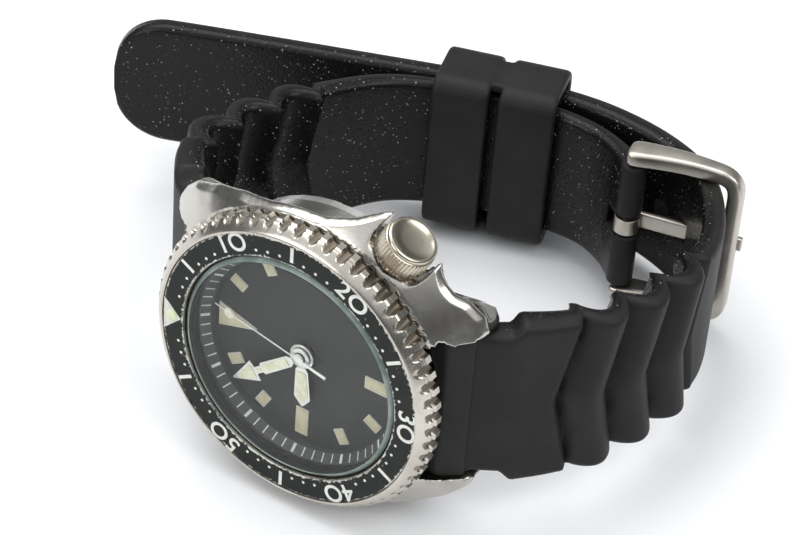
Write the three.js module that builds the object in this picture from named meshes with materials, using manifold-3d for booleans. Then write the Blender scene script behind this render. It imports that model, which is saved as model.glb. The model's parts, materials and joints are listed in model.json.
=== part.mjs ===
// A dive watch on a rubber strap, buckled and lying on its 9 o'clock side. Millimetres, +Z up.
//
// Everything is drawn in the watch head's own frame and turned into the resting pose at the end:
//   +x = 3 o'clock, +y = 12 o'clock, +z = out of the dial, z = 0 = top of the bezel insert.
import * as THREE from 'three';
import { mergeVertices } from 'three/addons/utils/BufferGeometryUtils.js';
import Module from 'manifold-3d';

const wasm = await Module();
wasm.setup();

// ---------------------------------------------------------------- driving dimensions (mm)
const LEAN = 8.5;               // degrees the head leans back, lying on its 9 o'clock side
const SEG = 48;                 // facets round a large circle
const INNER = 30;               // facets round a circle inside the movement
const FINE = 16;                // facets round a small one
const GAP = 0.1;                // running gap between pieces
const CLEAR = 0.05;             // gap between seated pieces

const INSERT_R = 19.0;          // bezel insert, outer radius
const INSERT_RI = 16.3;         // bezel insert, inner radius
const INSERT_T = 0.45;
const BEZEL_R = 20.85;          // bezel ring over its coin edge
const BEZEL_H = 3.35;           // bezel ring height
const BEZEL_RIM = 0.15;         // rim standing above the insert
const BEZEL_WALL = 3.1;         // skirt thickness
const NOTCHES = 60;
const NOTCH_DEPTH = 0.8;
const NOTCH_R = 0.6;
const SPRING_R = 18.95;         // middle of the bezel's click spring
const SPRING_ARC = 48;          // degrees of it
const PIP_R = 0.85;             // lume pip of the bezel
const PIP_PLACE = 17.55;        // its distance from the centre

const CRYSTAL_R = 15.6;
const CRYSTAL_T = 1.8;
const CRYSTAL_TOP = 0.05;
const GASKET_T = 0.25;          // crystal gasket wall
const CHAPTER_RI = 13.9;        // chapter ring, inner edge at the dial
const CHAPTER_H = 2.1;
const CHAPTER_WALL = 1.05;      // height of its upright inner wall
const DIAL_R = 15.15;
const DIAL_T = 0.4;
const DIAL_TOP = -4.3;

const NECK_R = 17.5;            // case neck that the bezel turns on
const CASE_TOP = -3.3;          // case shoulder under the bezel
const CASE_BOTTOM = -11.0;
const CASE_SIDE_R = 21.1;       // flank at 3 and 9 o'clock
const CASE_END_R = 18.4;        // wall between the lugs
const CASE_BORE_R = 15.35;
const BACK_BORE_R = 16.6;       // case back thread
const LUG_GAP = 22;             // strap width between the lugs
const LUG_TIP_Y = 23.1;
const LUG_DROP = -12.6;         // underside of the lug tips
const LUG_FROM = 15.2;          // |y| where the lugs begin
const BEVEL = 0.55;             // polished bevel round the case top

const CROWN_CLOCK = 120;        // degrees clockwise from 12
const CROWN_Z = -6.1;
const CROWN_R = 3.5;
const CROWN_IN = 22.3;          // distance of its inner face from the centre
const CROWN_LEN = 3.8;
const CROWN_SEAT = 21.9;        // recess floor between the guards
const CROWN_ROOM = 4.05;        // half the recess width
const GUARD_R = 24.9;           // guard tips
const TUBE_R = 2.1;
const TUBE_BORE = 1.15;
const STEM_R = 0.6;
const STEM_IN = 8.6;

const BACK_R = 17.9;            // case back flange
const BACK_Z = -12.8;           // its outer face
const BACK_PLUG_TOP = -9.8;
const BACK_FLOOR = -11.0;      // inner face
const BACK_SLOTS = 6;

const WORKS_Z = -0.65;          // the heights below, and all in the movement, are lowered by this
const PLATE_R = 13.6;           // main plate
const PLATE_TOP = -5.0;
const PLATE_BOTTOM = -6.0;
const BRIDGE_TOP = -8.05;
const BRIDGE_BOTTOM = -8.6;
const BRIDGE_R = 12.9;
const ROTOR_R = 13.2;
const ROTOR_TOP = -8.95;
const ROTOR_BOTTOM = -10.1;
const ROTOR_TURN = 90;          // its heavy half hangs towards 9 o'clock, which is down here
const ROTOR_BORE = 1.7;
const PIVOT_R = 0.22;           // train pivots
const JEWEL_R = 0.34;           // pivot holes
const ARBOR_LOW = -8.4;         // ends of the train arbors, in the bridge
const ARBOR_HIGH = -5.4;        // and in the main plate
const WHEEL_T = 0.2;
const CENTRE_Z = -6.35;         // undersides of the wheels
const ESCAPE_Z = -6.9;
const THIRD_Z = -7.5;
const FOURTH_Z = -7.97;
const BELOW = -9;               // where through cuts in the movement start
const BARREL = [-5.2, 3.0];     // arbor places, (x, y) from the middle
const THIRD = [3.82, 2.2];
const ESCAPE = [1.62, -3.72];
const BALANCE = [-3.4, -7.2];
const MINUTE_WHEEL = [1.9, 3.9];
const BALANCE_R = 4.0;
const FORK_REACH = 2.9;         // pallet fork's arbor from the escape wheel's
const PILLARS = [[-9.2, -8.0], [11.6, 3.6], [2.0, 12.0], [-11.4, 4.8], [9.0, -8.6]];

const BAR_Y = 20.6;             // spring bars in the lugs
const BAR_Z = -9.8;
const BAR_R = 0.9;
const PIN_R = 0.45;
const PIN_OUT = 1.1;            // how far a pin stands into its lug or arm
const BUCKLE_BAR = [-17.6, -53.6];  // buckle spring bar (y, z)
const BUCKLE_OUTER = [-31.2, -56.8]; // buckle outer bar (y, z)
const BUCKLE_GAP = 20.2;        // between the buckle arms
const BUCKLE_ARM = 2.0;         // arm width
const BUCKLE_BAR_R = 1.25;      // outer bar and arm half height
const TONGUE_W = 2.3;

const WAVE_LIFT = 1.55;         // half height of the waves
const WAVE_PITCH = 6.9;
const WAVE_COUNT = 3.5;
const CHEVRON = 2.6;            // how far a wave's middle lies nearer the case than its ends
const HOLE_R = 1.35;            // tongue holes
const HOLE_PITCH = 6.5;
const HOLE_COUNT = 7;

// Strap centre lines, [y, z, thickness, half width], from the lug outwards.
const LONG_ROUTE = [
  [-20.6, -9.8, 3.8, 10.7], [-24.1, -12.3, 4.2, 10.7],
  [-25.1, -13.2, 4.3, 12.2], [-29.4, -18.0, 3.6, 12.0],
  [-32.8, -26.0, 3.0, 11.5], [-34.6, -34.0, 3.0, 11.2], [-34.4, -42.5, 3.0, 10.8],
  [-31.2, -50.5, 3.0, 10.2], [-25.6, -57.6, 3.0, 9.9], [-18.2, -61.2, 3.0, 9.9],
  [-8.5, -62.5, 3.0, 9.9], [1.5, -61.0, 3.0, 9.9], [14.4, -56.2, 3.0, 9.9],
  [27.5, -51.1, 3.0, 9.8], [38.0, -47.0, 3.0, 9.7], [49.0, -42.6, 3.0, 9.6], [57.2, -39.0, 2.8, 9.6],
];
const SHORT_ROUTE = [
  [20.6, -9.8, 3.8, 10.7], [24.1, -12.6, 4.2, 10.7],
  [25.1, -13.5, 4.3, 12.2], [28.4, -18.6, 3.6, 12.0],
  [28.6, -26.5, 3.0, 11.5], [26.6, -34.0, 3.0, 11.2], [23.6, -41.6, 3.0, 10.8],
  [18.6, -49.4, 2.7, 10.2], [11.5, -53.9, 2.4, 9.9], [3.0, -56.6, 2.4, 9.8],
  [-4.0, -57.8, 2.4, 9.8], [-9.6, -57.6, 2.4, 9.7], [-14.2, -55.8, 2.8, 9.7], [-17.6, -53.6, 3.6, 9.7],
];
const WAVE_START = 11.5;        // along the centre line, from the lug bar
const TIP_ROUND = 7.5;          // rounding of the free end
const EYE_R = 1.9;              // rounded strap ends at the lugs
const BUCKLE_EYE_R = 1.8;

const KEEPER_Y = 5.7;           // keeper's middle
const KEEPER_LEN = 17.2;
const KEEPER_SLOT = 2.2;
const KEEPER_WALL = 1.4;
const KEEPER_ROOM = 4.1;        // half its inner depth
const KEEPER_LIFT = 0.15;       // its middle lies this far towards the wrist
const KEEPER_HALF = 12.1;       // half its outer width

// ---------------------------------------------------------------- materials
function finish(color, roughness, metalness) {
  return new THREE.MeshStandardMaterial({ color, roughness, metalness });
}
const STEEL = finish(0xb9b3a6, 0.28, 1);
const BRUSHED = finish(0xa59e92, 0.42, 1);
const BRASS = finish(0xb79a55, 0.35, 1);
const BLACK = finish(0x1d1f1d, 0.55, 0.2);
const DIAL_GREY = finish(0x3a3d3b, 0.6, 0);
const RING_GREY = finish(0x8b8f8d, 0.5, 0.3);
const LUME = finish(0xd5d9b0, 0.6, 0);
const GLASS = finish(0xdfe8e4, 0.03, 0);
const RUBBER = finish(0x1b1c1b, 0.7, 0);
const SEAL = finish(0x26282a, 0.8, 0);

// ---------------------------------------------------------------- solids
const head = new THREE.Group();
const works = new THREE.Group();  // the movement
works.position.z = WORKS_Z;
head.add(works);

// A closed geometry as a manifold solid, whichever way its faces point.
function solid(geometry) {
  const bare = geometry.index ? geometry.toNonIndexed() : geometry.clone();
  const place = new THREE.BufferGeometry().setAttribute('position', bare.getAttribute('position'));
  const merged = mergeVertices(place, 1e-4);
  const triVerts = new Uint32Array(merged.index.array);
  const vertProperties = merged.attributes.position.array;
  const made = new wasm.Manifold(new wasm.Mesh({ numProp: 3, vertProperties, triVerts }));
  if (made.volume() > 0) return made;
  for (let i = 0; i < triVerts.length; i += 3) {
    [triVerts[i + 1], triVerts[i + 2]] = [triVerts[i + 2], triVerts[i + 1]];
  }
  return new wasm.Manifold(new wasm.Mesh({ numProp: 3, vertProperties, triVerts }));
}

// A solid from its own points and triangles.
function stitched(spots, faces) {
  const geometry = new THREE.BufferGeometry();
  geometry.setAttribute('position', new THREE.BufferAttribute(new Float32Array(spots.flat()), 3));
  geometry.setIndex(faces);
  return solid(geometry);
}

function cut(body, ...tools) {
  return tools.reduce((left, tool) => left.subtract(tool), body);
}

function join(...bodies) {
  return bodies.reduce((sum, body) => sum.add(body));
}

function piece(name, body, material, group = head) {
  const { vertProperties, triVerts } = body.getMesh();
  const geometry = new THREE.BufferGeometry();
  geometry.setAttribute('position', new THREE.BufferAttribute(new Float32Array(vertProperties), 3));
  geometry.setIndex(new THREE.BufferAttribute(new Uint32Array(triVerts), 1));
  geometry.computeVertexNormals();
  const mesh = new THREE.Mesh(geometry, material);
  mesh.name = name;
  group.add(mesh);
}

// A turned solid about z from a closed [r, z] outline.
function turned(outline, segments = SEG) {
  const points = [...outline, outline[0]].map(([r, z]) => new THREE.Vector2(r, z));
  return solid(new THREE.LatheGeometry(points, segments).rotateX(Math.PI / 2));
}

function rod(r, low, high, segments = FINE) {
  return turned([[0, low], [r, low], [r, high], [0, high]], segments);
}

function tube(inner, outer, low, high, segments = SEG) {
  return turned([[inner, low], [outer, low], [outer, high], [inner, high]], segments);
}

function box(x0, x1, y0, y1, z0, z1) {
  const shape = new THREE.BoxGeometry(x1 - x0, y1 - y0, z1 - z0);
  return solid(shape.translate((x0 + x1) / 2, (y0 + y1) / 2, (z0 + z1) / 2));
}

// An outline in the x-y plane, extruded from z = low to z = high.
function plate(shape, low, high, curve = 6) {
  const geometry = new THREE.ExtrudeGeometry(shape, {
    depth: high - low, bevelEnabled: false, curveSegments: curve, steps: 1,
  });
  return solid(geometry.translate(0, 0, low));
}

// An outline in the y-z plane, extruded along x about x = middle.
function slab(shape, width, middle = 0, curve = 8) {
  const geometry = new THREE.ExtrudeGeometry(shape, {
    depth: width, bevelEnabled: false, curveSegments: curve, steps: 1,
  });
  const basis = new THREE.Matrix4().set(0, 0, 1, middle - width / 2, 1, 0, 0, 0, 0, 1, 0, 0, 0, 0, 0, 1);
  return solid(geometry.applyMatrix4(basis));
}

function moved(body, x, y, z = 0) {
  return body.translate([x, y, z]);
}

function polygon(points) {
  return new THREE.Shape(points.map(([x, y]) => new THREE.Vector2(x, y)));
}

function radians(degrees) {
  return degrees * Math.PI / 180;
}

// The direction of a clock angle, degrees clockwise from 12.
function clock(degrees) {
  return [Math.sin(radians(degrees)), Math.cos(radians(degrees))];
}

// Part of a flat ring between two angles from 3 o'clock.
function arcBand(inner, outer, from, to) {
  const shape = new THREE.Shape();
  shape.absarc(0, 0, outer, radians(from), radians(to), false);
  shape.absarc(0, 0, inner, radians(to), radians(from), true);
  return shape;
}

// A solid made along +z from the centre, laid along the crown's axis.
function alongCrown(body) {
  return body.rotate([0, 90, 0]).rotate([0, 0, 90 - CROWN_CLOCK]).translate([0, 0, CROWN_Z]);
}

// A solid made about z, laid along x at (y, z).
function alongX(body, y, z) {
  return body.rotate([0, 90, 0]).translate([0, y, z]);
}

// ---------------------------------------------------------------- case
// The case's top falls away outside the bezel as a dome of revolution.
function shoulder(r) {
  const out = Math.max(0, r - BEZEL_R + 0.25);
  return CASE_TOP - 0.78 * out - 0.04 * out * out;
}

function underside(r) {
  const out = Math.max(0, r - CASE_END_R - 0.6);
  return Math.max(LUG_DROP, CASE_BOTTOM - 0.42 * out);
}

// The plan outline: flanks, four lugs, and two guards with the crown's recess between them.
function caseOutline() {
  const path = new THREE.Path();
  const inner = LUG_GAP / 2;
  const end = Math.sqrt(CASE_END_R ** 2 - inner ** 2);
  const side = CASE_SIDE_R;
  const arc = (from, to) => path.absarc(0, 0, side, radians(from), radians(to), true);
  const [dx, dy] = clock(CROWN_CLOCK);
  const atCrown = (along, across) => [along * dx - across * dy, along * dy + across * dx];
  const line = (x, y) => path.lineTo(x, y);
  const lug = (sx, sy, outwards) => {
    const root = [[0, end], [0, LUG_TIP_Y - 3.6], [0, LUG_TIP_Y - 0.5], [0.5, LUG_TIP_Y],
      [2.2, LUG_TIP_Y - 0.9], [4.1, LUG_TIP_Y - 2.9]];
    (outwards ? root : root.reverse()).forEach(([x, y]) => line((inner + x) * sx, y * sy));
  };
  const wall = (from, to) => {
    for (let step = 1; step < 6; step += 1) {
      const turn = radians(from + (to - from) * step / 6);
      line(CASE_END_R * Math.cos(turn), CASE_END_R * Math.sin(turn));
    }
  };
  const spread = Math.atan2(inner, end) * 180 / Math.PI;
  path.moveTo(inner, end);
  lug(1, 1, true);
  path.quadraticCurveTo(19.1, 13.4, side * Math.cos(radians(18)), side * Math.sin(radians(18)));
  arc(18, 6);
  path.quadraticCurveTo(20.9, -3.2, ...atCrown(GUARD_R - 0.7, CROWN_ROOM + 0.75));
  line(...atCrown(GUARD_R, CROWN_ROOM));
  line(...atCrown(CROWN_SEAT, CROWN_ROOM));
  line(...atCrown(CROWN_SEAT, -CROWN_ROOM));
  line(...atCrown(GUARD_R, -CROWN_ROOM));
  line(...atCrown(GUARD_R - 0.7, -CROWN_ROOM - 0.75));
  path.quadraticCurveTo(16.0, -17.6, inner + 4.1, -LUG_TIP_Y + 2.9);
  lug(1, -1, false);
  wall(-90 + spread, -90 - spread);
  lug(-1, -1, true);
  path.quadraticCurveTo(-19.1, -13.4, side * Math.cos(radians(198)), side * Math.sin(radians(198)));
  arc(198, 162);
  path.quadraticCurveTo(-19.1, 13.4, -inner - 4.1, LUG_TIP_Y - 2.9);
  lug(-1, 1, false);
  wall(90 + spread, 90 - spread);
  const points = path.getPoints(3);
  return points.filter((point, i) => i === 0 || point.distanceTo(points[i - 1]) > 0.02)
    .filter((point, i, all) => i === 0 || point.distanceTo(all[0]) > 0.02);
}

// Rings of points stitched into a skin, closed by a fan at each end.
function lofted(rings, top, bottom) {
  const count = rings[0].length;
  const spots = [...rings.flat(), top, bottom];
  const faces = [];
  for (let ring = 0; ring + 1 < rings.length; ring += 1) {
    for (let i = 0; i < count; i += 1) {
      const a = ring * count + i;
      const b = ring * count + (i + 1) % count;
      faces.push(a, a + count, b, b, a + count, b + count);
    }
  }
  for (let i = 0; i < count; i += 1) {
    const next = (i + 1) % count;
    const last = (rings.length - 1) * count;
    faces.push(rings.length * count, i, next);
    faces.push(rings.length * count + 1, last + next, last + i);
  }
  return stitched(spots, faces);
}

function caseBlank() {
  const outline = caseOutline();
  // Guards and flanks draw in below; the lugs, beyond LUG_FROM, keep their width and reach lower.
  const ring = (scaleTo, height) => outline.map((point) => {
    const r = point.length();
    const lug = THREE.MathUtils.smoothstep(Math.abs(point.y), LUG_FROM, LUG_FROM + 3.5);
    const to = scaleTo(r, lug);
    return [point.x * to / r, point.y * to / r, height(to, r, lug)];
  });
  const flat = (r) => Math.min(r - 0.45, BACK_R + GAP);
  const low = (r, lug) => CASE_BOTTOM + (underside(r) - CASE_BOTTOM) * lug;
  const inside = (r) => Math.min(BEZEL_R - 0.3, r - 0.9);
  const part = (t) => (r) => inside(r) + (r - BEVEL - inside(r)) * t;
  const past = (r) => Math.max(0, r - CASE_SIDE_R);
  const flank = (r, lug) => r - 0.3 - (1 - lug) * (1.0 + 0.65 * past(r));
  const foot = (r, lug) => Math.max(r - 0.9 - (1 - lug) * (1.2 + 0.85 * past(r)), flat(r));
  return lofted([
    ring(inside, shoulder),
    ring(part(0.5), shoulder),
    ring(part(1), shoulder),
    ring((r) => r, (to) => shoulder(to) - BEVEL),
    ring((r) => r - 0.25, (to) => Math.min(-8, shoulder(to) - 1.3)),
    ring(flank, (to, r, lug) => low(r, lug) + 1.1),
    ring(foot, (to, r, lug) => low(r, lug)),
    ring(flat, () => CASE_BOTTOM),
  ], [0, 0, CASE_TOP], [0, 0, CASE_BOTTOM]);
}

const GASKET_R = CRYSTAL_R + GASKET_T + 2 * CLEAR;
const LEDGE_Z = CRYSTAL_TOP - CRYSTAL_T - GASKET_T - 2 * CLEAR;
const NECK_TOP = BEZEL_RIM - INSERT_T - 0.75 - GAP;
const CASE_STEP = BACK_PLUG_TOP + CLEAR;

function caseBody() {
  const neck = rod(NECK_R, CASE_TOP - 1, NECK_TOP, SEG);
  const bore = turned([[0, 1], [GASKET_R, 1], [GASKET_R, LEDGE_Z], [CASE_BORE_R, LEDGE_Z],
    [CASE_BORE_R, CASE_STEP], [BACK_BORE_R, CASE_STEP], [BACK_BORE_R, -14], [0, -14]]);
  const sealGroove = tube(BACK_BORE_R + 0.3, BACK_BORE_R + 0.95, CASE_BOTTOM - 0.2, CASE_BOTTOM + 0.5);
  const bezelGroove = tube(NECK_R - 0.35, NECK_R + 1, -2.45, -1.6);
  const springSeat = plate(arcBand(SPRING_R - 0.75, SPRING_R + 0.75, -2, SPRING_ARC + 2),
    CASE_TOP - 0.45, CASE_TOP + 0.2, 8);
  const tubeHole = alongCrown(rod(TUBE_R + CLEAR, 14, CROWN_SEAT + 2));
  const barHoles = [1, -1].map((s) => alongX(
    rod(PIN_R + GAP, -LUG_GAP / 2 - PIN_OUT - GAP, LUG_GAP / 2 + PIN_OUT + GAP, 12), s * BAR_Y, BAR_Z));
  return cut(join(caseBlank(), neck), bore, sealGroove, bezelGroove, springSeat, tubeHole, ...barHoles);
}

piece('case_body', caseBody(), STEEL);

function caseBack() {
  const flange = CASE_BOTTOM - CLEAR;
  const thread = BACK_BORE_R - GAP;
  const body = turned([[0, BACK_FLOOR], [15.4, BACK_FLOOR], [15.4, BACK_PLUG_TOP], [thread, BACK_PLUG_TOP],
    [thread, flange], [BACK_R, flange], [BACK_R, BACK_Z + 0.5], [BACK_R - 0.5, BACK_Z], [0, BACK_Z]]);
  const slots = [];
  for (let i = 0; i < BACK_SLOTS; i += 1) {
    const slot = box(-1.3, 1.3, BACK_R - 1.6, BACK_R + 1, BACK_Z - 1, BACK_Z + 0.6);
    slots.push(slot.rotate([0, 0, 30 + i * 360 / BACK_SLOTS]));
  }
  return cut(body, ...slots);
}

piece('case_back', caseBack(), BRUSHED);
piece('case_back_gasket',
  tube(BACK_BORE_R + 0.35, BACK_BORE_R + 0.9, CASE_BOTTOM, CASE_BOTTOM + 0.45), SEAL);

// ---------------------------------------------------------------- bezel
const BEZEL_TOP = BEZEL_RIM;
const BEZEL_LOW = BEZEL_TOP - BEZEL_H;
const SEAT_Z = -INSERT_T - CLEAR;

function bezelRing() {
  const skirt = BEZEL_R - BEZEL_WALL;
  const flange = NECK_TOP + GAP;
  const body = turned([[INSERT_RI - CLEAR, flange], [skirt, flange], [skirt, BEZEL_LOW], [BEZEL_R, BEZEL_LOW],
    [BEZEL_R, BEZEL_TOP - 1.3], [INSERT_R + 0.4, BEZEL_TOP],
    [INSERT_R + CLEAR, BEZEL_TOP], [INSERT_R + CLEAR, SEAT_Z], [INSERT_RI - CLEAR, SEAT_Z]], NOTCHES);
  const notch = moved(rod(NOTCH_R, BEZEL_TOP - 2.4, BEZEL_TOP + 1, 4), 0, BEZEL_R - NOTCH_DEPTH + NOTCH_R);
  const notches = [];
  for (let i = 0; i < NOTCHES; i += 1) {
    notches.push(notch.rotate([0, 0, i * 360 / NOTCHES]));
  }
  return cut(body, wasm.Manifold.union(notches));
}

function bezelInsert() {
  const pocket = moved(rod(PIP_R + CLEAR, -1, 1, 12), 0, PIP_PLACE);
  return cut(tube(INSERT_RI, INSERT_R, -INSERT_T, 0), pocket);
}

function bezelPip() {
  const dome = [];
  for (let step = 0; step <= 3; step += 1) {
    const turn = radians(step * 30);
    dome.push([PIP_R * Math.cos(turn), 0.4 * Math.sin(turn)]);
  }
  return moved(turned([[0, -INSERT_T], [PIP_R, -INSERT_T], ...dome], 12), 0, PIP_PLACE);
}

piece('bezel_ring', bezelRing(), STEEL);
piece('bezel_insert', bezelInsert(), BLACK);
piece('bezel_pip', bezelPip(), LUME);
piece('bezel_gasket', tube(NECK_R - 0.3, BEZEL_R - BEZEL_WALL - CLEAR, -2.3, -1.75), SEAL);

// A leaf spring that lies in the case shoulder and clicks under the bezel.
piece('bezel_click_spring',
  plate(arcBand(SPRING_R - 0.6, SPRING_R + 0.6, 0, SPRING_ARC), CASE_TOP - 0.4, CASE_TOP - 0.2, 8), STEEL);

// ---------------------------------------------------------------- crystal, dial and hands
const CRYSTAL_LOW = CRYSTAL_TOP - CRYSTAL_T;
const GASKET_TOP = CRYSTAL_TOP - 0.9;
piece('crystal', turned([[0, CRYSTAL_LOW], [CRYSTAL_R, CRYSTAL_LOW], [CRYSTAL_R, CRYSTAL_TOP - 0.45],
  [CRYSTAL_R - 0.4, CRYSTAL_TOP], [0, CRYSTAL_TOP]]), GLASS);
piece('crystal_gasket', turned([[CASE_BORE_R - 0.15, LEDGE_Z + CLEAR], [GASKET_R - CLEAR, LEDGE_Z + CLEAR],
  [GASKET_R - CLEAR, GASKET_TOP], [CRYSTAL_R + CLEAR, GASKET_TOP],
  [CRYSTAL_R + CLEAR, CRYSTAL_LOW - CLEAR], [CASE_BORE_R - 0.15, CRYSTAL_LOW - CLEAR]]), SEAL);

const CHAPTER_LOW = DIAL_TOP + CLEAR;
const CHAPTER_TOP = CHAPTER_LOW + CHAPTER_H;
piece('chapter_ring', turned([[CHAPTER_RI, CHAPTER_LOW], [DIAL_R, CHAPTER_LOW], [DIAL_R, CHAPTER_TOP],
  [DIAL_R - 0.25, CHAPTER_TOP], [CHAPTER_RI, CHAPTER_LOW + CHAPTER_WALL]]), RING_GREY);

const HOUR_PIPE = 1.15;
const CANNON_R = 0.78;
const FOURTH_R = 0.25;
const CENTRE_R = 0.52;          // centre wheel's hollow arbor
const DIAL_LOW = DIAL_TOP - DIAL_T;
piece('dial', cut(rod(DIAL_R, DIAL_LOW, DIAL_TOP, SEG), rod(HOUR_PIPE + 0.2, BELOW, 0, 16)), DIAL_GREY);

const HOUR_HAND = { low: -3.5, high: -3.3, turn: 266.5, bore: HOUR_PIPE + CLEAR, hub: 1.75 };
const MINUTE_HAND = { low: -3.08, high: -2.88, turn: 321.2, bore: CANNON_R + CLEAR, hub: 1.45 };
const SECOND_HAND = { low: -2.62, high: -2.47, turn: 12, bore: FOURTH_R + CLEAR, hub: 0.85 };

// A hand's outline along +y with its hub at the centre, turned to its clock angle.
function hand(spec, half) {
  const blade = polygon([...half, ...half.map(([x, y]) => [-x, y]).reverse()]);
  const body = join(plate(blade, spec.low, spec.high), rod(spec.hub, spec.low, spec.high, 16));
  return cut(body, rod(spec.bore, BELOW, 0, 12)).rotate([0, 0, -spec.turn]);
}

piece('hour_hand', hand(HOUR_HAND, [[0.7, 0.6], [0.45, 1.6], [1.05, 2.2], [1.2, 6.6], [0.15, 7.7]]), STEEL);
piece('minute_hand', hand(MINUTE_HAND, [[0.6, 0.6], [0.4, 1.5], [0.85, 2.2], [1.0, 6.8], [0.5, 7.0],
  [0.5, 8.2], [1.45, 8.4], [0.2, 12.6]]), STEEL);
const LOLLIPOP = moved(rod(0.75, SECOND_HAND.low, SECOND_HAND.high, 14), 0, 10.8)
  .rotate([0, 0, -SECOND_HAND.turn]);
piece('second_hand', join(hand(SECOND_HAND, [[0.28, -4.4], [0.12, 0.5], [0.12, 13.2]]), LOLLIPOP), STEEL);

// ---------------------------------------------------------------- movement
// A toothed wheel with straight flanks.
function gear(teeth, tip, depth, low, high) {
  const points = [];
  for (let i = 0; i < teeth; i += 1) {
    const a = (i / teeth) * 2 * Math.PI;
    const b = ((i + 0.5) / teeth) * 2 * Math.PI;
    const root = tip - depth;
    points.push([tip * Math.cos(a), tip * Math.sin(a)], [root * Math.cos(b), root * Math.sin(b)]);
  }
  return plate(polygon(points), low, high);
}

// A wheel with crossings (three windows), its pinion and its arbor.
function wheel({ teeth, tip, low, pinion, arbor }) {
  const high = low + WHEEL_T;
  const rim = tip - 1.0;
  const window = new THREE.Shape();
  window.absarc(0, 0, rim, radians(12), radians(108), false);
  window.absarc(0, 0, 1.35, radians(108), radians(12), true);
  const windows = [0, 120, 240].map((turn) => plate(window, low - 1, high + 1, 3).rotate([0, 0, turn]));
  const disc = cut(gear(teeth, tip, 0.35, low, high), ...windows);
  const leaves = gear(8, pinion.tip, 0.18, pinion.low, pinion.high);
  return join(disc, leaves, rod(arbor.r, arbor.low, arbor.high, 12));
}

function mainPlate() {
  const rim = DIAL_LOW - WORKS_Z - CLEAR;
  const stemZ = CROWN_Z - WORKS_Z;
  const body = turned([[0, PLATE_BOTTOM], [PLATE_R, PLATE_BOTTOM], [PLATE_R, rim],
    [PLATE_R - 0.9, rim], [PLATE_R - 0.9, PLATE_TOP], [0, PLATE_TOP]], INNER);
  const posts = PILLARS.map(([x, y]) => moved(rod(0.75, BRIDGE_TOP + CLEAR, PLATE_BOTTOM + 0.2, 8), x, y));
  const keyless = box(-1.6, 1.6, 8.1, 12.6, PLATE_BOTTOM - 1, rim + 0.1).rotate([0, 0, -CROWN_CLOCK]);
  const slot = box(-0.8, 0.8, 8.0, 14, PLATE_BOTTOM - 1, stemZ + 0.75).rotate([0, 0, -CROWN_CLOCK]);
  const holes = [BARREL, THIRD, ESCAPE, BALANCE].map(([x, y]) => moved(rod(JEWEL_R, BELOW, 0, 8), x, y));
  return cut(join(body, ...posts), keyless, slot, rod(0.75, BELOW, 0, 14), ...holes);
}

function trainBridge() {
  const [bx, by] = BALANCE;
  const room = BALANCE_R + 0.6;
  const balanceRoom = join(moved(rod(room, BELOW, -7, 24), bx, by),
    box(-room, room, 8, 14, BELOW, -7).rotate([0, 0, -Math.atan2(bx, by) * 180 / Math.PI]));
  const holes = [[0, 0], THIRD, ESCAPE].map(([x, y]) => moved(rod(JEWEL_R, BELOW, -7, 8), x, y));
  const arborHole = moved(rod(0.75, BELOW, -7, 12), ...BARREL);
  return cut(rod(BRIDGE_R, BRIDGE_BOTTOM, BRIDGE_TOP, INNER), balanceRoom, arborHole, ...holes);
}

function mainspringBarrel() {
  const shell = turned([[0.8, -7.6], [4.6, -7.6], [4.6, -6.45], [4.3, -6.45],
    [4.3, -7.35], [0.8, -7.35]], 24);
  return moved(join(shell, cut(gear(30, 5.15, 0.35, -6.95, -6.6), rod(4.4, BELOW, -5, 24))), ...BARREL);
}

const SPIRAL_STEPS = 10;

// A flat spiral band about z, turns times round from r0 to r1.
function spiral(r0, r1, turns, width, low, high) {
  const steps = turns * SPIRAL_STEPS;
  const outer = [];
  const inner = [];
  for (let i = 0; i <= steps; i += 1) {
    const a = (i / SPIRAL_STEPS) * 2 * Math.PI;
    const r = r0 + (r1 - r0) * i / steps;
    outer.push([(r + width / 2) * Math.cos(a), (r + width / 2) * Math.sin(a)]);
    inner.unshift([(r - width / 2) * Math.cos(a), (r - width / 2) * Math.sin(a)]);
  }
  return plate(polygon([...outer, ...inner]), low, high);
}

piece('main_plate', mainPlate(), BRASS, works);
piece('train_bridge', trainBridge(), BRUSHED, works);
piece('barrel', mainspringBarrel(), BRASS, works);
piece('mainspring', moved(spiral(1.0, 4.1, 4, 0.16, -7.25, -6.6), ...BARREL), STEEL, works);
piece('barrel_arbor', moved(join(rod(0.65, -8.7, -6.5, 12), rod(0.28, -7, -5.2, 12),
  gear(24, 3.6, 0.35, -8.87, -8.65)), ...BARREL), STEEL, works);

piece('center_wheel', cut(wheel({
  teeth: 22, tip: 3.7, low: CENTRE_Z,
  pinion: { tip: 0.72, low: -7.0, high: CENTRE_Z + 0.05 },
  arbor: { r: CENTRE_R, low: -7.05, high: MINUTE_HAND.low - WORKS_Z - 0.1 },
}), rod(0.35, BELOW, 0, 12)), BRASS, works);
piece('third_wheel', moved(wheel({
  teeth: 22, tip: 3.6, low: THIRD_Z,
  pinion: { tip: 0.58, low: THIRD_Z + 0.1, high: -6.1 },
  arbor: { r: PIVOT_R, low: ARBOR_LOW, high: ARBOR_HIGH },
}), ...THIRD), BRASS, works);
piece('fourth_wheel', wheel({
  teeth: 20, tip: 3.4, low: FOURTH_Z,
  pinion: { tip: 0.7, low: FOURTH_Z + 0.17, high: -7.15 },
  arbor: { r: FOURTH_R, low: ARBOR_LOW, high: SECOND_HAND.high - WORKS_Z + 0.07 },
}), BRASS, works);
piece('escape_wheel', moved(join(gear(15, 2.2, 0.55, ESCAPE_Z, ESCAPE_Z + WHEEL_T),
  gear(7, 0.52, 0.15, FOURTH_Z, ESCAPE_Z + 0.1), rod(PIVOT_R, ARBOR_LOW, ARBOR_HIGH, 12)), ...ESCAPE),
STEEL, works);

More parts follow.
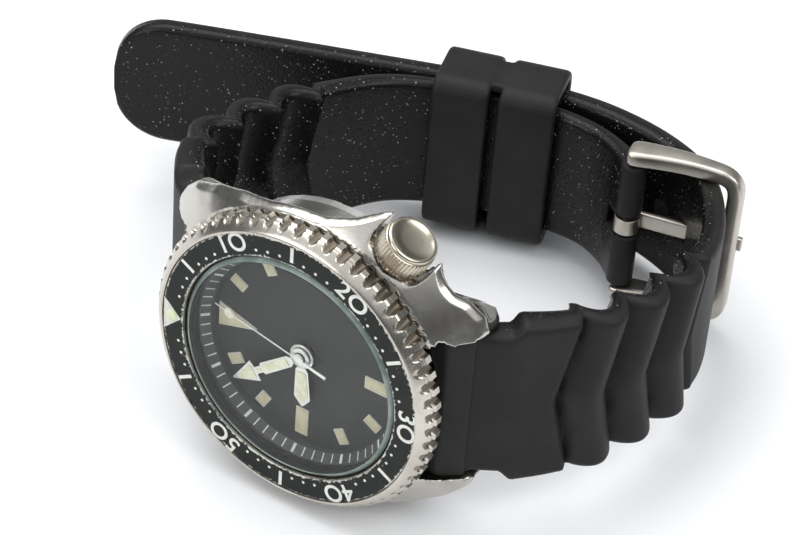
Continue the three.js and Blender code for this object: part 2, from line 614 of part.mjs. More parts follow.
const FORK_TURN = Math.atan2(BALANCE[1] - ESCAPE[1], BALANCE[0] - ESCAPE[0]);
const FORK = [ESCAPE[0] + FORK_REACH * Math.cos(FORK_TURN), ESCAPE[1] + FORK_REACH * Math.sin(FORK_TURN)];

function palletFork() {
  const outline = polygon([[-0.95, 1.65], [-0.95, 1.3], [-0.35, 1.1], [-0.35, -1.1], [-0.95, -1.3],
    [-0.95, -1.65], [0.1, -1.4], [0.3, -0.25], [2.1, -0.2], [2.45, -0.4], [2.45, 0.4], [2.1, 0.2],
    [0.3, 0.25], [0.1, 1.4]]);
  const fork = join(plate(outline, ESCAPE_Z, ESCAPE_Z + WHEEL_T),
    rod(PIVOT_R - 0.02, ESCAPE_Z - 0.1, PLATE_BOTTOM - CLEAR, 10));
  return moved(fork.rotate([0, 0, FORK_TURN * 180 / Math.PI]), ...FORK);
}

function balanceWheel() {
  const arm = BALANCE_R - 0.4;
  const rim = tube(BALANCE_R - 0.6, BALANCE_R, THIRD_Z, THIRD_Z + 0.35, 24);
  const spokes = box(-arm, arm, -0.25, 0.25, THIRD_Z, THIRD_Z + WHEEL_T);
  const staff = join(rod(PIVOT_R, ARBOR_LOW, ARBOR_HIGH, 12), rod(0.42, THIRD_Z, ESCAPE_Z, 12));
  return moved(join(rim, spokes, staff, rod(0.5, -7.1, ESCAPE_Z + 0.15, 12)), ...BALANCE);
}

function balanceCock() {
  const turn = Math.atan2(BALANCE[0], BALANCE[1]) * 180 / Math.PI;
  const arm = box(-1.2, 1.2, 6.9, 13.2, BRIDGE_BOTTOM, BRIDGE_TOP);
  const foot = box(-1.2, 1.2, 12.25, 13.2, BRIDGE_TOP - 0.1, PLATE_BOTTOM - CLEAR);
  const eye = moved(rod(1.2, BRIDGE_BOTTOM, BRIDGE_TOP, 16), ...BALANCE);
  const hole = moved(rod(JEWEL_R, BELOW, -7, 8), ...BALANCE);
  return cut(join(join(arm, foot).rotate([0, 0, -turn]), eye), hole);
}

piece('pallet_fork', palletFork(), STEEL, works);
piece('balance_wheel', balanceWheel(), BRASS, works);
piece('hairspring', moved(spiral(0.55, 2.6, 4, 0.12, -7.95, -7.65), ...BALANCE), STEEL, works);
piece('balance_cock', balanceCock(), BRUSHED, works);

const CANNON_TOP = MINUTE_HAND.high - WORKS_Z + 0.08;
const PIPE_TOP = HOUR_HAND.high - WORKS_Z + 0.1;
piece('cannon_pinion', cut(join(rod(CANNON_R, -4.95, CANNON_TOP, 14), gear(12, 1.25, 0.25, -4.95, -4.78)),
  rod(CENTRE_R + CLEAR, BELOW, 0, 12)), STEEL, works);
piece('hour_wheel', cut(join(rod(HOUR_PIPE, -4.7, PIPE_TOP, 16), gear(24, 3.2, 0.3, -4.42, -4.2)),
  rod(CANNON_R + 0.06, -4.76, 0, 14)), BRASS, works);
piece('minute_wheel', moved(join(gear(22, 2.95, 0.3, -4.95, -4.75), gear(10, 1.02, 0.2, -4.8, -4.2)),
  ...MINUTE_WHEEL), BRASS, works);

function rotor() {
  const half = (r, low, high) => {
    const shape = new THREE.Shape();
    shape.absarc(0, 0, r, 0, Math.PI, false);
    return plate(shape, low, high, 14);
  };
  const rim = cut(half(ROTOR_R, ROTOR_BOTTOM, ROTOR_TOP), rod(10.6, -11, BRIDGE_TOP, INNER));
  const web = half(11, ROTOR_TOP - 0.25, ROTOR_TOP);
  const hub = rod(3.0, ROTOR_TOP - 0.45, ROTOR_TOP, 24);
  return cut(join(rim, web, hub), rod(ROTOR_BORE, -11, BRIDGE_TOP, 24)).rotate([0, 0, ROTOR_TURN]);
}

piece('rotor', rotor(), BRUSHED, works);
piece('rotor_bearing', rod(ROTOR_BORE - GAP, -9.6, BRIDGE_BOTTOM - CLEAR, 24), STEEL, works);
piece('movement_ring', cut(tube(PLATE_R + GAP, CASE_BORE_R - GAP, -9.6 + WORKS_Z, -4.2 + WORKS_Z, INNER),
  alongCrown(rod(STEM_R + 0.25, 10, 18, 14))), BRASS);

// ---------------------------------------------------------------- crown and stem
function crown() {
  const out = CROWN_IN + CROWN_LEN;
  const knurl = gear(32, CROWN_R, 0.22, CROWN_IN, out - 0.35);
  const face = turned([[0, out - 0.6], [CROWN_R - 0.25, out - 0.6], [CROWN_R - 0.25, out - 0.3],
    [CROWN_R - 0.6, out], [0, out]], 24);
  const cavity = rod(TUBE_R + 0.4, CROWN_IN - 1, CROWN_IN + 2.6, 20);
  return alongCrown(cut(join(knurl, face), cavity, rod(STEM_R + CLEAR, CROWN_IN, out - 0.7, 14)));
}

piece('crown', crown(), STEEL);
// A toothed sleeve on the stem.
function stemPinion(teeth, tip, from, to) {
  return alongCrown(cut(gear(teeth, tip, 0.2, from, to), rod(STEM_R + GAP, from - 1, to + 1, 12)));
}

piece('crown_tube', alongCrown(cut(rod(TUBE_R, 16.2, CROWN_IN + 2.3), rod(TUBE_BORE, 10, 30, 16))), STEEL);
piece('crown_gasket',
  alongCrown(tube(STEM_R + GAP, TUBE_BORE - CLEAR, CROWN_IN + 1, CROWN_IN + 1.6, 16)), SEAL);
piece('stem', alongCrown(rod(STEM_R, STEM_IN, CROWN_IN + CROWN_LEN - 0.75, 12)), STEEL);
piece('winding_pinion', stemPinion(14, 1.2, 11.0, 12.2), STEEL);
piece('sliding_pinion', stemPinion(12, 1.15, 9.0, 10.6), STEEL);

// ---------------------------------------------------------------- spring bars
// A hollow bar with a spring-loaded pin in each end, along x.
function springBar(name, half, y, z) {
  const reach = 3.2;
  const bore = PIN_R + GAP;
  const bores = [half - reach, -half - 1]
    .map((from) => box(from, from + reach + 1, -bore, bore, -bore, bore));
  const shell = rod(BAR_R, -half, half, 14).rotate([0, 90, 0]);
  piece(name, cut(shell, ...bores).translate([0, y, z]), STEEL);
  for (const [side, s] of [['3', 1], ['9', -1]]) {
    const ends = [s * (half - 2), s * (half + GAP + PIN_OUT)];
    piece(`${name}_pin_${side}`, alongX(rod(PIN_R, Math.min(...ends), Math.max(...ends), 10), y, z), STEEL);
  }
}

const LUG_BAR_HALF = LUG_GAP / 2 - 0.35;
const BUCKLE_BAR_HALF = BUCKLE_GAP / 2 - 0.3;
springBar('lug_bar_12', LUG_BAR_HALF, BAR_Y, BAR_Z);
springBar('lug_bar_6', LUG_BAR_HALF, -BAR_Y, BAR_Z);
springBar('buckle_bar', BUCKLE_BAR_HALF, ...BUCKLE_BAR);

// ---------------------------------------------------------------- strap
// A strap half's centre line with its thickness and half width, by distance along it.
function route(points) {
  const places = points.map(([y, z]) => new THREE.Vector3(0, y, z));
  const curve = new THREE.CatmullRomCurve3(places, false, 'centripetal');
  curve.arcLengthDivisions = 400;
  const length = curve.getLength();
  const spans = 20;
  const lengths = curve.getLengths((points.length - 1) * spans);
  const knots = points.map((_, i) => lengths[i * spans]);
  const along = (s, column) => {
    let i = 0;
    while (i < knots.length - 2 && s > knots[i + 1]) i += 1;
    const t = Math.min(1, Math.max(0, (s - knots[i]) / (knots[i + 1] - knots[i])));
    return points[i][column] + (points[i + 1][column] - points[i][column]) * t;
  };
  const at = (s) => {
    const u = Math.min(1, Math.max(0, s / length));
    const spot = curve.getPointAt(u);
    const way = curve.getTangentAt(u);
    return { y: spot.y, z: spot.z, ny: way.z, nz: -way.y, ty: way.y, tz: way.z };
  };
  return { length, at, thickness: (s) => along(s, 2), half: (s) => along(s, 3) };
}

// Wave height at a place along the strap, with bars joined by steep flanks.
function wave(s) {
  const phase = (s - WAVE_START) / WAVE_PITCH;
  if (phase < 0 || phase > WAVE_COUNT) return 0;
  const swing = -Math.sin(2 * Math.PI * phase) * 1.5;
  return WAVE_LIFT * Math.max(-1, Math.min(1, swing));
}

// outside = +1 or -1: which side of the centre line faces away from the wrist.
function strapHalf(path, outside, tipRound) {
  const columns = [-1, -0.55, 0, 0.55, 1];
  const waveEnd = WAVE_START + (WAVE_COUNT + 0.3) * WAVE_PITCH;
  const stations = [];
  for (let s = 0; s < path.length - 0.4;) {
    stations.push(s);
    if (s < WAVE_START - 3) s += 1.2;
    else if (s < waveEnd) s += WAVE_PITCH / 8;
    else s += 3.4;
  }
  stations.push(path.length);
  const top = [];
  const bottom = [];
  for (const s of stations) {
    const { y, z, ny, nz } = path.at(s);
    const fromTip = path.length - s;
    const round = fromTip < tipRound ? 1 - Math.sqrt(1 - (1 - fromTip / tipRound) ** 2) : 0;
    const half = path.half(s) - round * tipRound * 0.95;
    for (const column of columns) {
      const lift = wave(s + CHEVRON * (1 - Math.abs(column)));
      const skin = path.thickness(s) / 2;
      top.push([half * column, y + ny * (lift + skin) * outside, z + nz * (lift + skin) * outside]);
      bottom.push([half * column, y + ny * (lift - skin) * outside, z + nz * (lift - skin) * outside]);
    }
  }
  const rows = stations.length;
  const wide = columns.length;
  const faces = [];
  const quad = (a, b, c, d) => faces.push(a, b, c, a, c, d);
  const below = rows * wide;
  for (let i = 0; i + 1 < rows; i += 1) {
    for (let j = 0; j + 1 < wide; j += 1) {
      const a = i * wide + j;
      quad(a, a + 1, a + wide + 1, a + wide);
      quad(below + a, below + a + wide, below + a + wide + 1, below + a + 1);
    }
    const left = i * wide;
    const right = left + wide - 1;
    quad(left, left + wide, below + left + wide, below + left);
    quad(right + wide, right, below + right, below + right + wide);
  }
  for (let j = 0; j + 1 < wide; j += 1) {
    const last = (rows - 1) * wide + j;
    quad(j + 1, j, below + j, below + j + 1);
    quad(last, last + 1, below + last + 1, below + last);
  }
  return stitched([...top, ...bottom], faces);
}

// The rounded end that wraps a spring bar, with the bar's hole through it.
function barEye(y, z, r, half) {
  return alongX(rod(r, -half, half, 14), y, z);
}

function barHole(y, z) {
  return alongX(rod(BAR_R + 0.12, -15, 15, 14), y, z);
}

const LONG = route(LONG_ROUTE);
const SHORT = route(SHORT_ROUTE);

// Distance along a strap half where it first passes nearest to a point.
function nearest(path, y, z) {
  let best = 0;
  let least = Infinity;
  for (let s = 0; s < path.length; s += 0.1) {
    const spot = path.at(s);
    const far = Math.hypot(spot.y - y, spot.z - z);
    if (far < least) {
      least = far;
      best = s;
    }
  }
  return best;
}

const TONGUE_HOLE = nearest(LONG, -25.9, -57.3);

function tongueHoles() {
  const holes = [];
  for (let i = 1; i < HOLE_COUNT; i += 1) {
    const { y, z, ny, nz } = LONG.at(TONGUE_HOLE + i * HOLE_PITCH);
    const tilt = Math.atan2(ny, nz) * 180 / Math.PI;
    holes.push(rod(HOLE_R, -4, 4, 8).rotate([-tilt, 0, 0]).translate([0, y, z]));
  }
  return holes;
}

const [BY, BZ] = BUCKLE_BAR;
const BUCKLE_TURN = Math.atan2(BUCKLE_OUTER[1] - BZ, BUCKLE_OUTER[0] - BY);
const BUCKLE_REACH = Math.hypot(BUCKLE_OUTER[1] - BZ, BUCKLE_OUTER[0] - BY);

// A solid drawn with the buckle's spring bar at the origin, its outer bar along +x and the outside
// along +y, put in its place on the watch.
function inBuckle(body) {
  const along = [Math.cos(BUCKLE_TURN), Math.sin(BUCKLE_TURN)];
  return body.transform([0, ...along, 0, 0, -along[1], along[0], 0, 1, 0, 0, 0, 0, BY, BZ, 1]);
}

const LONG_OUT = 1;
const SHORT_OUT = -1;
const STRAP_AT_LUG = LONG_ROUTE[0][3];
const STRAP_AT_BUCKLE = 9.7;
const TONGUE_ROOM = TONGUE_W / 2 + 0.4;
const tongueSlot = inBuckle(box(4, 13, 0.4, 2.7, -TONGUE_ROOM, TONGUE_ROOM));
piece('strap_6', cut(join(strapHalf(LONG, LONG_OUT, TIP_ROUND), barEye(-BAR_Y, BAR_Z, EYE_R, STRAP_AT_LUG)),
  barHole(-BAR_Y, BAR_Z), tongueSlot, ...tongueHoles()), RUBBER);

const tongueNotch = box(-TONGUE_ROOM, TONGUE_ROOM, BY - 4, BY + 3.2, BZ - 4, BZ + 4);
piece('strap_12', cut(join(strapHalf(SHORT, SHORT_OUT, 0), barEye(BAR_Y, BAR_Z, EYE_R, STRAP_AT_LUG),
  barEye(BY, BZ, BUCKLE_EYE_R, STRAP_AT_BUCKLE)), barHole(BAR_Y, BAR_Z), barHole(BY, BZ), tongueNotch),
RUBBER);

// ---------------------------------------------------------------- buckle and keeper
function buckleFrame() {
  const [oy, oz] = BUCKLE_OUTER;
  const wide = BUCKLE_GAP + 2 * BUCKLE_ARM;
  const side = new THREE.Shape();
  side.absarc(BY, BZ, BUCKLE_BAR_R, BUCKLE_TURN + Math.PI / 2, BUCKLE_TURN + 1.5 * Math.PI, false);
  side.absarc(oy, oz, BUCKLE_BAR_R, BUCKLE_TURN - Math.PI / 2, BUCKLE_TURN + Math.PI / 2, false);
  const arms = [1, -1].map((s) => slab(side, BUCKLE_ARM, s * (BUCKLE_GAP + BUCKLE_ARM) / 2, 6));
  const outer = alongX(rod(BUCKLE_BAR_R, -wide / 2, wide / 2, 16), oy, oz);
  const pinHoles = BUCKLE_GAP / 2 + PIN_OUT + GAP;
  return cut(join(...arms, outer), alongX(rod(PIN_R + GAP, -pinHoles, pinHoles, 12), BY, BZ));
}

function buckleTongue() {
  const rest = BUCKLE_BAR_R + GAP;
  const reach = BUCKLE_REACH;
  const blade = polygon([[0.6, 1.5], [2.6, 1.9], [reach - 2.6, 1.9], [reach - 1.6, rest + 0.8],
    [reach + 1.3, rest + 0.6], [reach + 1.3, rest], [reach - 1.4, rest], [reach - 2.8, 0.9],
    [2.8, 0.9], [1.6, 0.3]]);
  const half = TONGUE_W / 2;
  const ring = rod(BAR_R + 0.9, -half, half);
  const bore = rod(BAR_R + 0.1, -9, 9, 14);
  return inBuckle(cut(join(plate(blade, -half, half), ring), bore));
}

piece('buckle_frame', buckleFrame(), BRUSHED);
piece('buckle_tongue', buckleTongue(), BRUSHED);

// A rubber double loop round both layers of the strap.
function keeper() {
  const outer = LONG.at(nearest(LONG, KEEPER_Y, -60));
  const inner = SHORT.at(nearest(SHORT, KEEPER_Y, -56));
  const tilt = Math.atan2(outer.tz - inner.tz, outer.ty - inner.ty) * 180 / Math.PI;
  const middle = [(outer.y + inner.y) / 2, (outer.z + inner.z) / 2 + KEEPER_LIFT];
  const half = KEEPER_LEN / 2;
  const wide = KEEPER_HALF;
  const room = KEEPER_ROOM;
  const shell = box(-wide, wide, -half, half, -room - KEEPER_WALL, room + KEEPER_WALL);
  const inside = box(-wide + KEEPER_WALL, wide - KEEPER_WALL, -half - 1, half + 1, -room, room);
  const slots = [1, -1].map((s) => box(-wide + 2.4, wide - 2.4, -KEEPER_SLOT / 2, KEEPER_SLOT / 2,
    s * room + (s > 0 ? -0.5 : -KEEPER_WALL - 1), s * room + (s > 0 ? KEEPER_WALL + 1 : 0.5)));
  return cut(shell, inside, ...slots).rotate([tilt, 0, 0]).translate([0, ...middle]);
}

piece('keeper', keeper(), RUBBER);

// ---------------------------------------------------------------- resting pose
// 12 o'clock goes to -X, the dial faces -Y and a little up, 3 o'clock goes up.
const lean = radians(LEAN);
const pose = new THREE.Matrix4().set(
  0, -1, 0, 0,
  Math.sin(lean), 0, -Math.cos(lean), 0,
  Math.cos(lean), 0, Math.sin(lean), 0,
  0, 0, 0, 1,
);
head.applyMatrix4(pose);

const watch = new THREE.Group();
watch.name = 'dive_watch';
watch.add(head);
watch.updateMatrixWorld(true);
const bounds = new THREE.Box3().setFromObject(watch, true);
const centre = bounds.getCenter(new THREE.Vector3());
head.position.set(-centre.x, -centre.y, -bounds.min.z);

export default watch;
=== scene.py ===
"""The looks of a dive watch on a rubber strap: detailed meshes and materials over its CAD frame.

Shapes are drawn in millimetres in the watch head's own frame, as the CAD is: +x to 3 o'clock, +y to
12 o'clock, +z out of the dial, z = 0 at the top of the bezel insert.
"""
import json
import math

import bmesh
import bpy
from mathutils import Matrix, Vector


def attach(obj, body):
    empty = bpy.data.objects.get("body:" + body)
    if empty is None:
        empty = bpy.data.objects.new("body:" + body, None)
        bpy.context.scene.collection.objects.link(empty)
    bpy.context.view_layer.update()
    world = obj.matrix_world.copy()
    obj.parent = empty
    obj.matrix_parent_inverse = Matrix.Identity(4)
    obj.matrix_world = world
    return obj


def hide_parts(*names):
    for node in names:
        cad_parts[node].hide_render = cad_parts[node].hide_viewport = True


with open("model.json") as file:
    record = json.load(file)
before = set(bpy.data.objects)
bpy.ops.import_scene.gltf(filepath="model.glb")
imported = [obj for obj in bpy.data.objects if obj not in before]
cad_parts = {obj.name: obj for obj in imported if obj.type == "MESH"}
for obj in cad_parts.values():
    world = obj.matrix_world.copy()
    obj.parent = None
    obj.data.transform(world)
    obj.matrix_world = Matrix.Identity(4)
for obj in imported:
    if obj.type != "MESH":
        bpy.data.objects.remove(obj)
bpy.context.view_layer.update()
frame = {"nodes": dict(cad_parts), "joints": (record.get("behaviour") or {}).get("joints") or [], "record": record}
MM = 0.001
JOINTS = {joint["name"]: joint for joint in frame["joints"]}

# ---------------------------------------------------------------- the watch head's frame
DIAL = -Vector(JOINTS["bezel_turn"]["axis"])
TWELVE = Vector((-1, 0, 0))
THREE = TWELVE.cross(DIAL)
ORIGIN = Vector(JOINTS["bezel_turn"]["pos_m"]) + DIAL * MM
AXES = Matrix((THREE, TWELVE, DIAL)).transposed()
HEAD = Matrix.Translation(ORIGIN) @ AXES.to_4x4() @ Matrix.Scale(MM, 4)

# ---------------------------------------------------------------- sizes (mm)
BEZEL_R = 20.85
BEZEL_TOP = 0.15
BEZEL_LOW = -3.2
BEZEL_BORE = 17.75
INSERT_R = 19.0
INSERT_RI = 15.95
NOTCHES = 60
NOTCH_R = 0.6
NOTCH_DEPTH = 0.85
CRYSTAL_R = 15.6
DIAL_TOP = -4.3
DIAL_R = 15.1
DIAL_HOLE_R = 1.35
CHAPTER_RI = 13.9
CROWN_AT = 120
CROWN_Z = -6.1
CROWN_R = 3.5
CROWN_IN = 22.3
CROWN_OUT = 26.1
BAR_Y = 20.6
BAR_Z = -9.8
BUCKLE_BAR = (-17.6, -53.6)
BUCKLE_OUTER = (-31.2, -56.8)
WAVE_START = 11.5
WAVE_PITCH = 6.9
WAVE_COUNT = 3.5
WAVE_LIFT = 1.45
CHEVRON = 2.6
LONG_ROUTE = [
    (-20.6, -9.8, 3.8, 10.7), (-24.1, -12.3, 4.2, 10.7),
    (-25.1, -13.2, 4.3, 12.2), (-29.4, -18.0, 3.6, 12.0),
    (-32.8, -26.0, 3.0, 11.5), (-34.6, -34.0, 3.0, 11.2), (-34.4, -42.5, 3.0, 10.8),
    (-31.2, -50.5, 3.0, 10.2), (-25.6, -57.6, 3.0, 9.9), (-18.2, -61.2, 3.0, 9.9),
    (-8.5, -62.5, 3.0, 9.9), (1.5, -61.0, 3.0, 9.9), (14.4, -56.2, 3.0, 9.9),
    (27.5, -51.1, 3.0, 9.8), (38.0, -47.0, 3.0, 9.7), (49.0, -42.6, 3.0, 9.6), (57.2, -39.0, 2.8, 9.6),
]
SHORT_ROUTE = [
    (20.6, -9.8, 3.8, 10.7), (24.1, -12.6, 4.2, 10.7),
    (25.1, -13.5, 4.3, 12.2), (28.4, -18.6, 3.6, 12.0),
    (28.6, -26.5, 3.0, 11.5), (26.6, -34.0, 3.0, 11.2), (23.6, -41.6, 3.0, 10.8),
    (18.6, -49.4, 2.7, 10.2), (11.5, -53.9, 2.4, 9.9), (3.0, -56.6, 2.4, 9.8),
    (-4.0, -57.8, 2.4, 9.8), (-9.6, -57.6, 2.4, 9.7), (-14.2, -55.8, 2.8, 9.7), (-17.6, -53.6, 3.6, 9.7),
]
TIP_ROUND = 7.5
STRAP_STEP = 0.42
STRAP_EYE_R = 1.9
STRAP_EYE_HALF = 10.7
BUCKLE_EYE_R = 1.8
BUCKLE_EYE_HALF = 4.05
BUCKLE_EYE_X = 5.65
HOLE_R = 1.35
HOLE_PITCH = 6.5
HOLE_COUNT = 7
KEEPER_Y = 5.7
KEEPER_HALF_X = 11.4
KEEPER_HALF_Z = 4.8
KEEPER_WALL = 1.5
KEEPER_CORNER = 2.0
LOOP_APART = 4.65
LOOP_HALF = 3.95
BUCKLE_HALF = 11.1
BUCKLE_CORNER = 2.6
BUCKLE_ARCH = 0.75
HOUR_TURN = 266.5
MINUTE_TURN = 321.0
SECOND_TURN = 12.0
SECOND_SPOT_Y = 10.8
FIGURE_SIZE = 3.5
FIGURE_R = 17.65
DOT_R = 16.85
RIM_DEPTH = 1.3
FLANK_NEAREST = 18.0
SEAT_EXTRA = 3.9
LUG_INSIDE = 11.0
LUG_NARROWEST = 12.6
MELT_VOXEL = 0.24
CASE_MELT = 16
KEEPER_VOXEL = 0.26
KEEPER_MELT = 6
FLOOR_HALF_M = 2


# ---------------------------------------------------------------- materials
class Nodes:
    """A material's node tree, in short words. Sizes are in millimetres."""

    def __init__(self, name):
        self.material = bpy.data.materials.new(name)
        self.material.use_nodes = True
        self.tree = self.material.node_tree
        self.shader = self.tree.nodes["Principled BSDF"]
        coordinates = self.tree.nodes.new("ShaderNodeTexCoord")
        self.place = coordinates.outputs["Object"]

    def link(self, value, socket):
        if isinstance(value, bpy.types.NodeSocket):
            self.tree.links.new(value, socket)
        elif isinstance(value, tuple) and len(value) == 3:
            socket.default_value = (*value, 1)
        else:
            socket.default_value = value

    def scaled(self, stretch):
        """Object coordinates in the head's frame, in millimetres, stretched along its axes."""
        mapping = self.tree.nodes.new("ShaderNodeMapping")
        turn = AXES.inverted().to_euler()
        mapping.inputs["Rotation"].default_value = turn
        self.tree.links.new(self.place, mapping.inputs["Vector"])
        sized = self.tree.nodes.new("ShaderNodeVectorMath")
        sized.operation = "MULTIPLY"
        self.tree.links.new(mapping.outputs[0], sized.inputs[0])
        sized.inputs[1].default_value = [1000 / part for part in stretch]
        return sized.outputs[0]

    def noise(self, size, detail=3, stretch=(1, 1, 1), rough=0.55):
        node = self.tree.nodes.new("ShaderNodeTexNoise")
        node.inputs["Scale"].default_value = 1
        node.inputs["Detail"].default_value = detail
        node.inputs["Roughness"].default_value = rough
        self.tree.links.new(self.scaled([size * part for part in stretch]), node.inputs["Vector"])
        return node.outputs["Fac"]

    def cells(self, size, feature="F1"):
        node = self.tree.nodes.new("ShaderNodeTexVoronoi")
        node.feature = feature
        node.inputs["Scale"].default_value = 1
        self.tree.links.new(self.scaled((size, size, size)), node.inputs["Vector"])
        return node.outputs["Distance"]

    def ramp(self, value, low, high, start=0.0, end=1.0):
        node = self.tree.nodes.new("ShaderNodeMapRange")
        node.interpolation_type = "SMOOTHSTEP"
        for socket, number in zip(("From Min", "From Max", "To Min", "To Max"), (low, high, start, end)):
            node.inputs[socket].default_value = number
        self.link(value, node.inputs["Value"])
        return node.outputs[0]

    def maths(self, operation, first, second=0.0):
        node = self.tree.nodes.new("ShaderNodeMath")
        node.operation = operation
        self.link(first, node.inputs[0])
        self.link(second, node.inputs[1])
        return node.outputs[0]

    def mix(self, factor, first, second):
        node = self.tree.nodes.new("ShaderNodeMix")
        node.data_type = "RGBA"
        self.link(factor, node.inputs[0])
        self.link(first, node.inputs[6])
        self.link(second, node.inputs[7])
        return node.outputs[2]

    def attribute(self, name):
        node = self.tree.nodes.new("ShaderNodeAttribute")
        node.attribute_name = name
        return node.outputs["Fac"]

    def crevice(self, reach):
        """1 in corners and recesses, 0 on open surface."""
        node = self.tree.nodes.new("ShaderNodeAmbientOcclusion")
        node.samples = 6
        node.inputs["Distance"].default_value = reach * MM
        return self.maths("SUBTRACT", 1.0, node.outputs["AO"])

    def bump(self, height, strength, depth=0.1):
        node = self.tree.nodes.new("ShaderNodeBump")
        node.inputs["Strength"].default_value = strength
        node.inputs["Distance"].default_value = depth * MM
        self.link(height, node.inputs["Height"])
        self.tree.links.new(node.outputs[0], self.shader.inputs["Normal"])

    def set(self, **values):
        for name, value in values.items():
            self.link(value, self.shader.inputs[name.replace("_", " ")])
        return self.material


def steel(name, tone, rough, grime_and_shade=0.7, stretch=(1, 1, 1), reach=0.9, grain=0.25):
    """Worn stainless steel: fine scratches, cloudy tarnish, and a brown in its corners and grooves that is partly
    real soiling and partly painted shade.
    """
    n = Nodes(name)
    clouds = n.noise(3.5, 4)
    scratches = n.noise(0.22, 3, stretch)
    # ambient occlusion turns corners and recesses brown: painted shade, with real soiling in it
    dirt_and_shade = n.ramp(n.maths("ADD", n.crevice(reach), n.maths("MULTIPLY", clouds, 0.12)), 0.3, 0.85, 0, grime_and_shade)
    # the bezel's notch grooves get the same brown painted shade
    dirt_and_shade = n.maths("MAXIMUM", dirt_and_shade, n.maths("MULTIPLY", n.attribute("groove"), 0.62))
    dull = tuple(part * 0.86 for part in tone)
    metal = n.mix(n.ramp(clouds, 0.3, 0.7), dull, tone)
    # the brown mixed over the metal is painted shade in corners and grooves, standing also for soiling there
    colour = n.mix(dirt_and_shade, metal, (0.16, 0.115, 0.075))
    marks = n.maths("ADD", n.ramp(scratches, 0.3, 0.8, -0.03, 0.04), n.ramp(clouds, 0.3, 0.75, -0.03, 0.04))
    roughness = n.maths("ADD", n.maths("ADD", marks, rough), n.maths("MULTIPLY", dirt_and_shade, 0.3))
    n.bump(scratches, grain, 0.006)
    return n.set(Base_Color=colour, Metallic=1.0, Roughness=roughness)


def brass(name, tone):
    n = Nodes(name)
    clouds = n.noise(2.0, 4)
    lines = n.noise(0.12, 2, (8, 1, 1))
    colour = n.mix(n.ramp(clouds, 0.3, 0.7), tuple(part * 0.8 for part in tone), tone)
    n.bump(lines, 0.2, 0.01)
    return n.set(Base_Color=colour, Metallic=1.0, Roughness=n.ramp(lines, 0.3, 0.7, 0.22, 0.4))


def rubber(name, shine=0.0):
    """Black rubber: matte outside with faint dust, glossy where the attribute inner is 1, with painted pale glints
    there.
    """
    n = Nodes(name)
    inner = n.attribute("inner")
    dust = n.noise(5.0, 5)
    grain = n.noise(0.16, 3)
    pits = n.ramp(n.cells(0.62), 0.05, 0.42)
    leather = n.maths("ADD", n.maths("MULTIPLY", pits, 0.8), n.maths("MULTIPLY", grain, 0.5))
    matte = n.mix(n.ramp(dust, 0.35, 0.8), (0.0125, 0.0128, 0.0122), (0.0185, 0.0185, 0.0175))
    # painted glints: pale dots in the inner face's colour stand in for sparkling highlights
    glints = n.ramp(n.cells(0.6), 0.2, 0.08)
    painted_glints = n.maths("MULTIPLY", glints, n.ramp(n.noise(1.7, 3), 0.46, 0.56))
    colour = n.mix(inner, matte, n.mix(painted_glints, (0.0065, 0.0066, 0.0065), (0.45, 0.455, 0.45)))
    speckle = n.ramp(grain, 0.3, 0.7, 0.44 - shine, 0.56 - shine)
    flat = n.maths("ADD", speckle, n.maths("MULTIPLY", dust, 0.06))
    gloss = n.ramp(leather, 0.3, 1.1, 0.34, 0.16)
    side = n.maths("MULTIPLY", inner, n.maths("SUBTRACT", gloss, flat))
    height = n.maths("ADD", n.maths("MULTIPLY", grain, 0.3), n.maths("MULTIPLY", inner, leather))
    n.bump(height, 0.55, 0.09)
    n.shader.inputs["Specular IOR Level"].default_value = 0.2
    return n.set(Base_Color=colour, Roughness=n.maths("ADD", flat, side))


def painted(name, low, high, rough, size=2.0, specular=0.4, grit=0.09):
    n = Nodes(name)
    cloud = n.noise(size, 5)
    grain = n.noise(grit, 2)
    n.bump(grain, 0.1, 0.006)
    n.shader.inputs["Specular IOR Level"].default_value = specular
    return n.set(Base_Color=n.mix(n.ramp(cloud, 0.3, 0.72), low, high),
                 Roughness=n.ramp(grain, 0.3, 0.7, rough - 0.06, rough + 0.08))


def insert_material():
    """Black anodised aluminium, its print coat chipped to bare metal along both rims and here and there."""
    n = Nodes("insert_black")
    rim = n.attribute("rim")
    flakes = n.noise(0.42, 5, rough=0.7)
    spots = n.noise(1.1, 4, rough=0.65)
    chip = n.maths("ADD", n.maths("MULTIPLY", rim, 0.2), n.maths("MULTIPLY", spots, 0.28))
    chipped = n.ramp(n.maths("ADD", chip, n.maths("MULTIPLY", flakes, 0.62)), 0.575, 0.61)
    cloud = n.noise(2.6, 5)
    coat = n.mix(n.ramp(cloud, 0.3, 0.75), (0.006, 0.008, 0.007), (0.013, 0.016, 0.013))
    n.bump(n.maths("SUBTRACT", n.noise(0.15, 2), chipped), 0.25, 0.03)
    n.shader.inputs["Specular IOR Level"].default_value = 0.2
    return n.set(Base_Color=n.mix(chipped, coat, (0.62, 0.61, 0.56)),
                 Metallic=n.maths("MULTIPLY", chipped, 0.6),
                 Roughness=n.ramp(cloud, 0.3, 0.7, 0.3, 0.45))


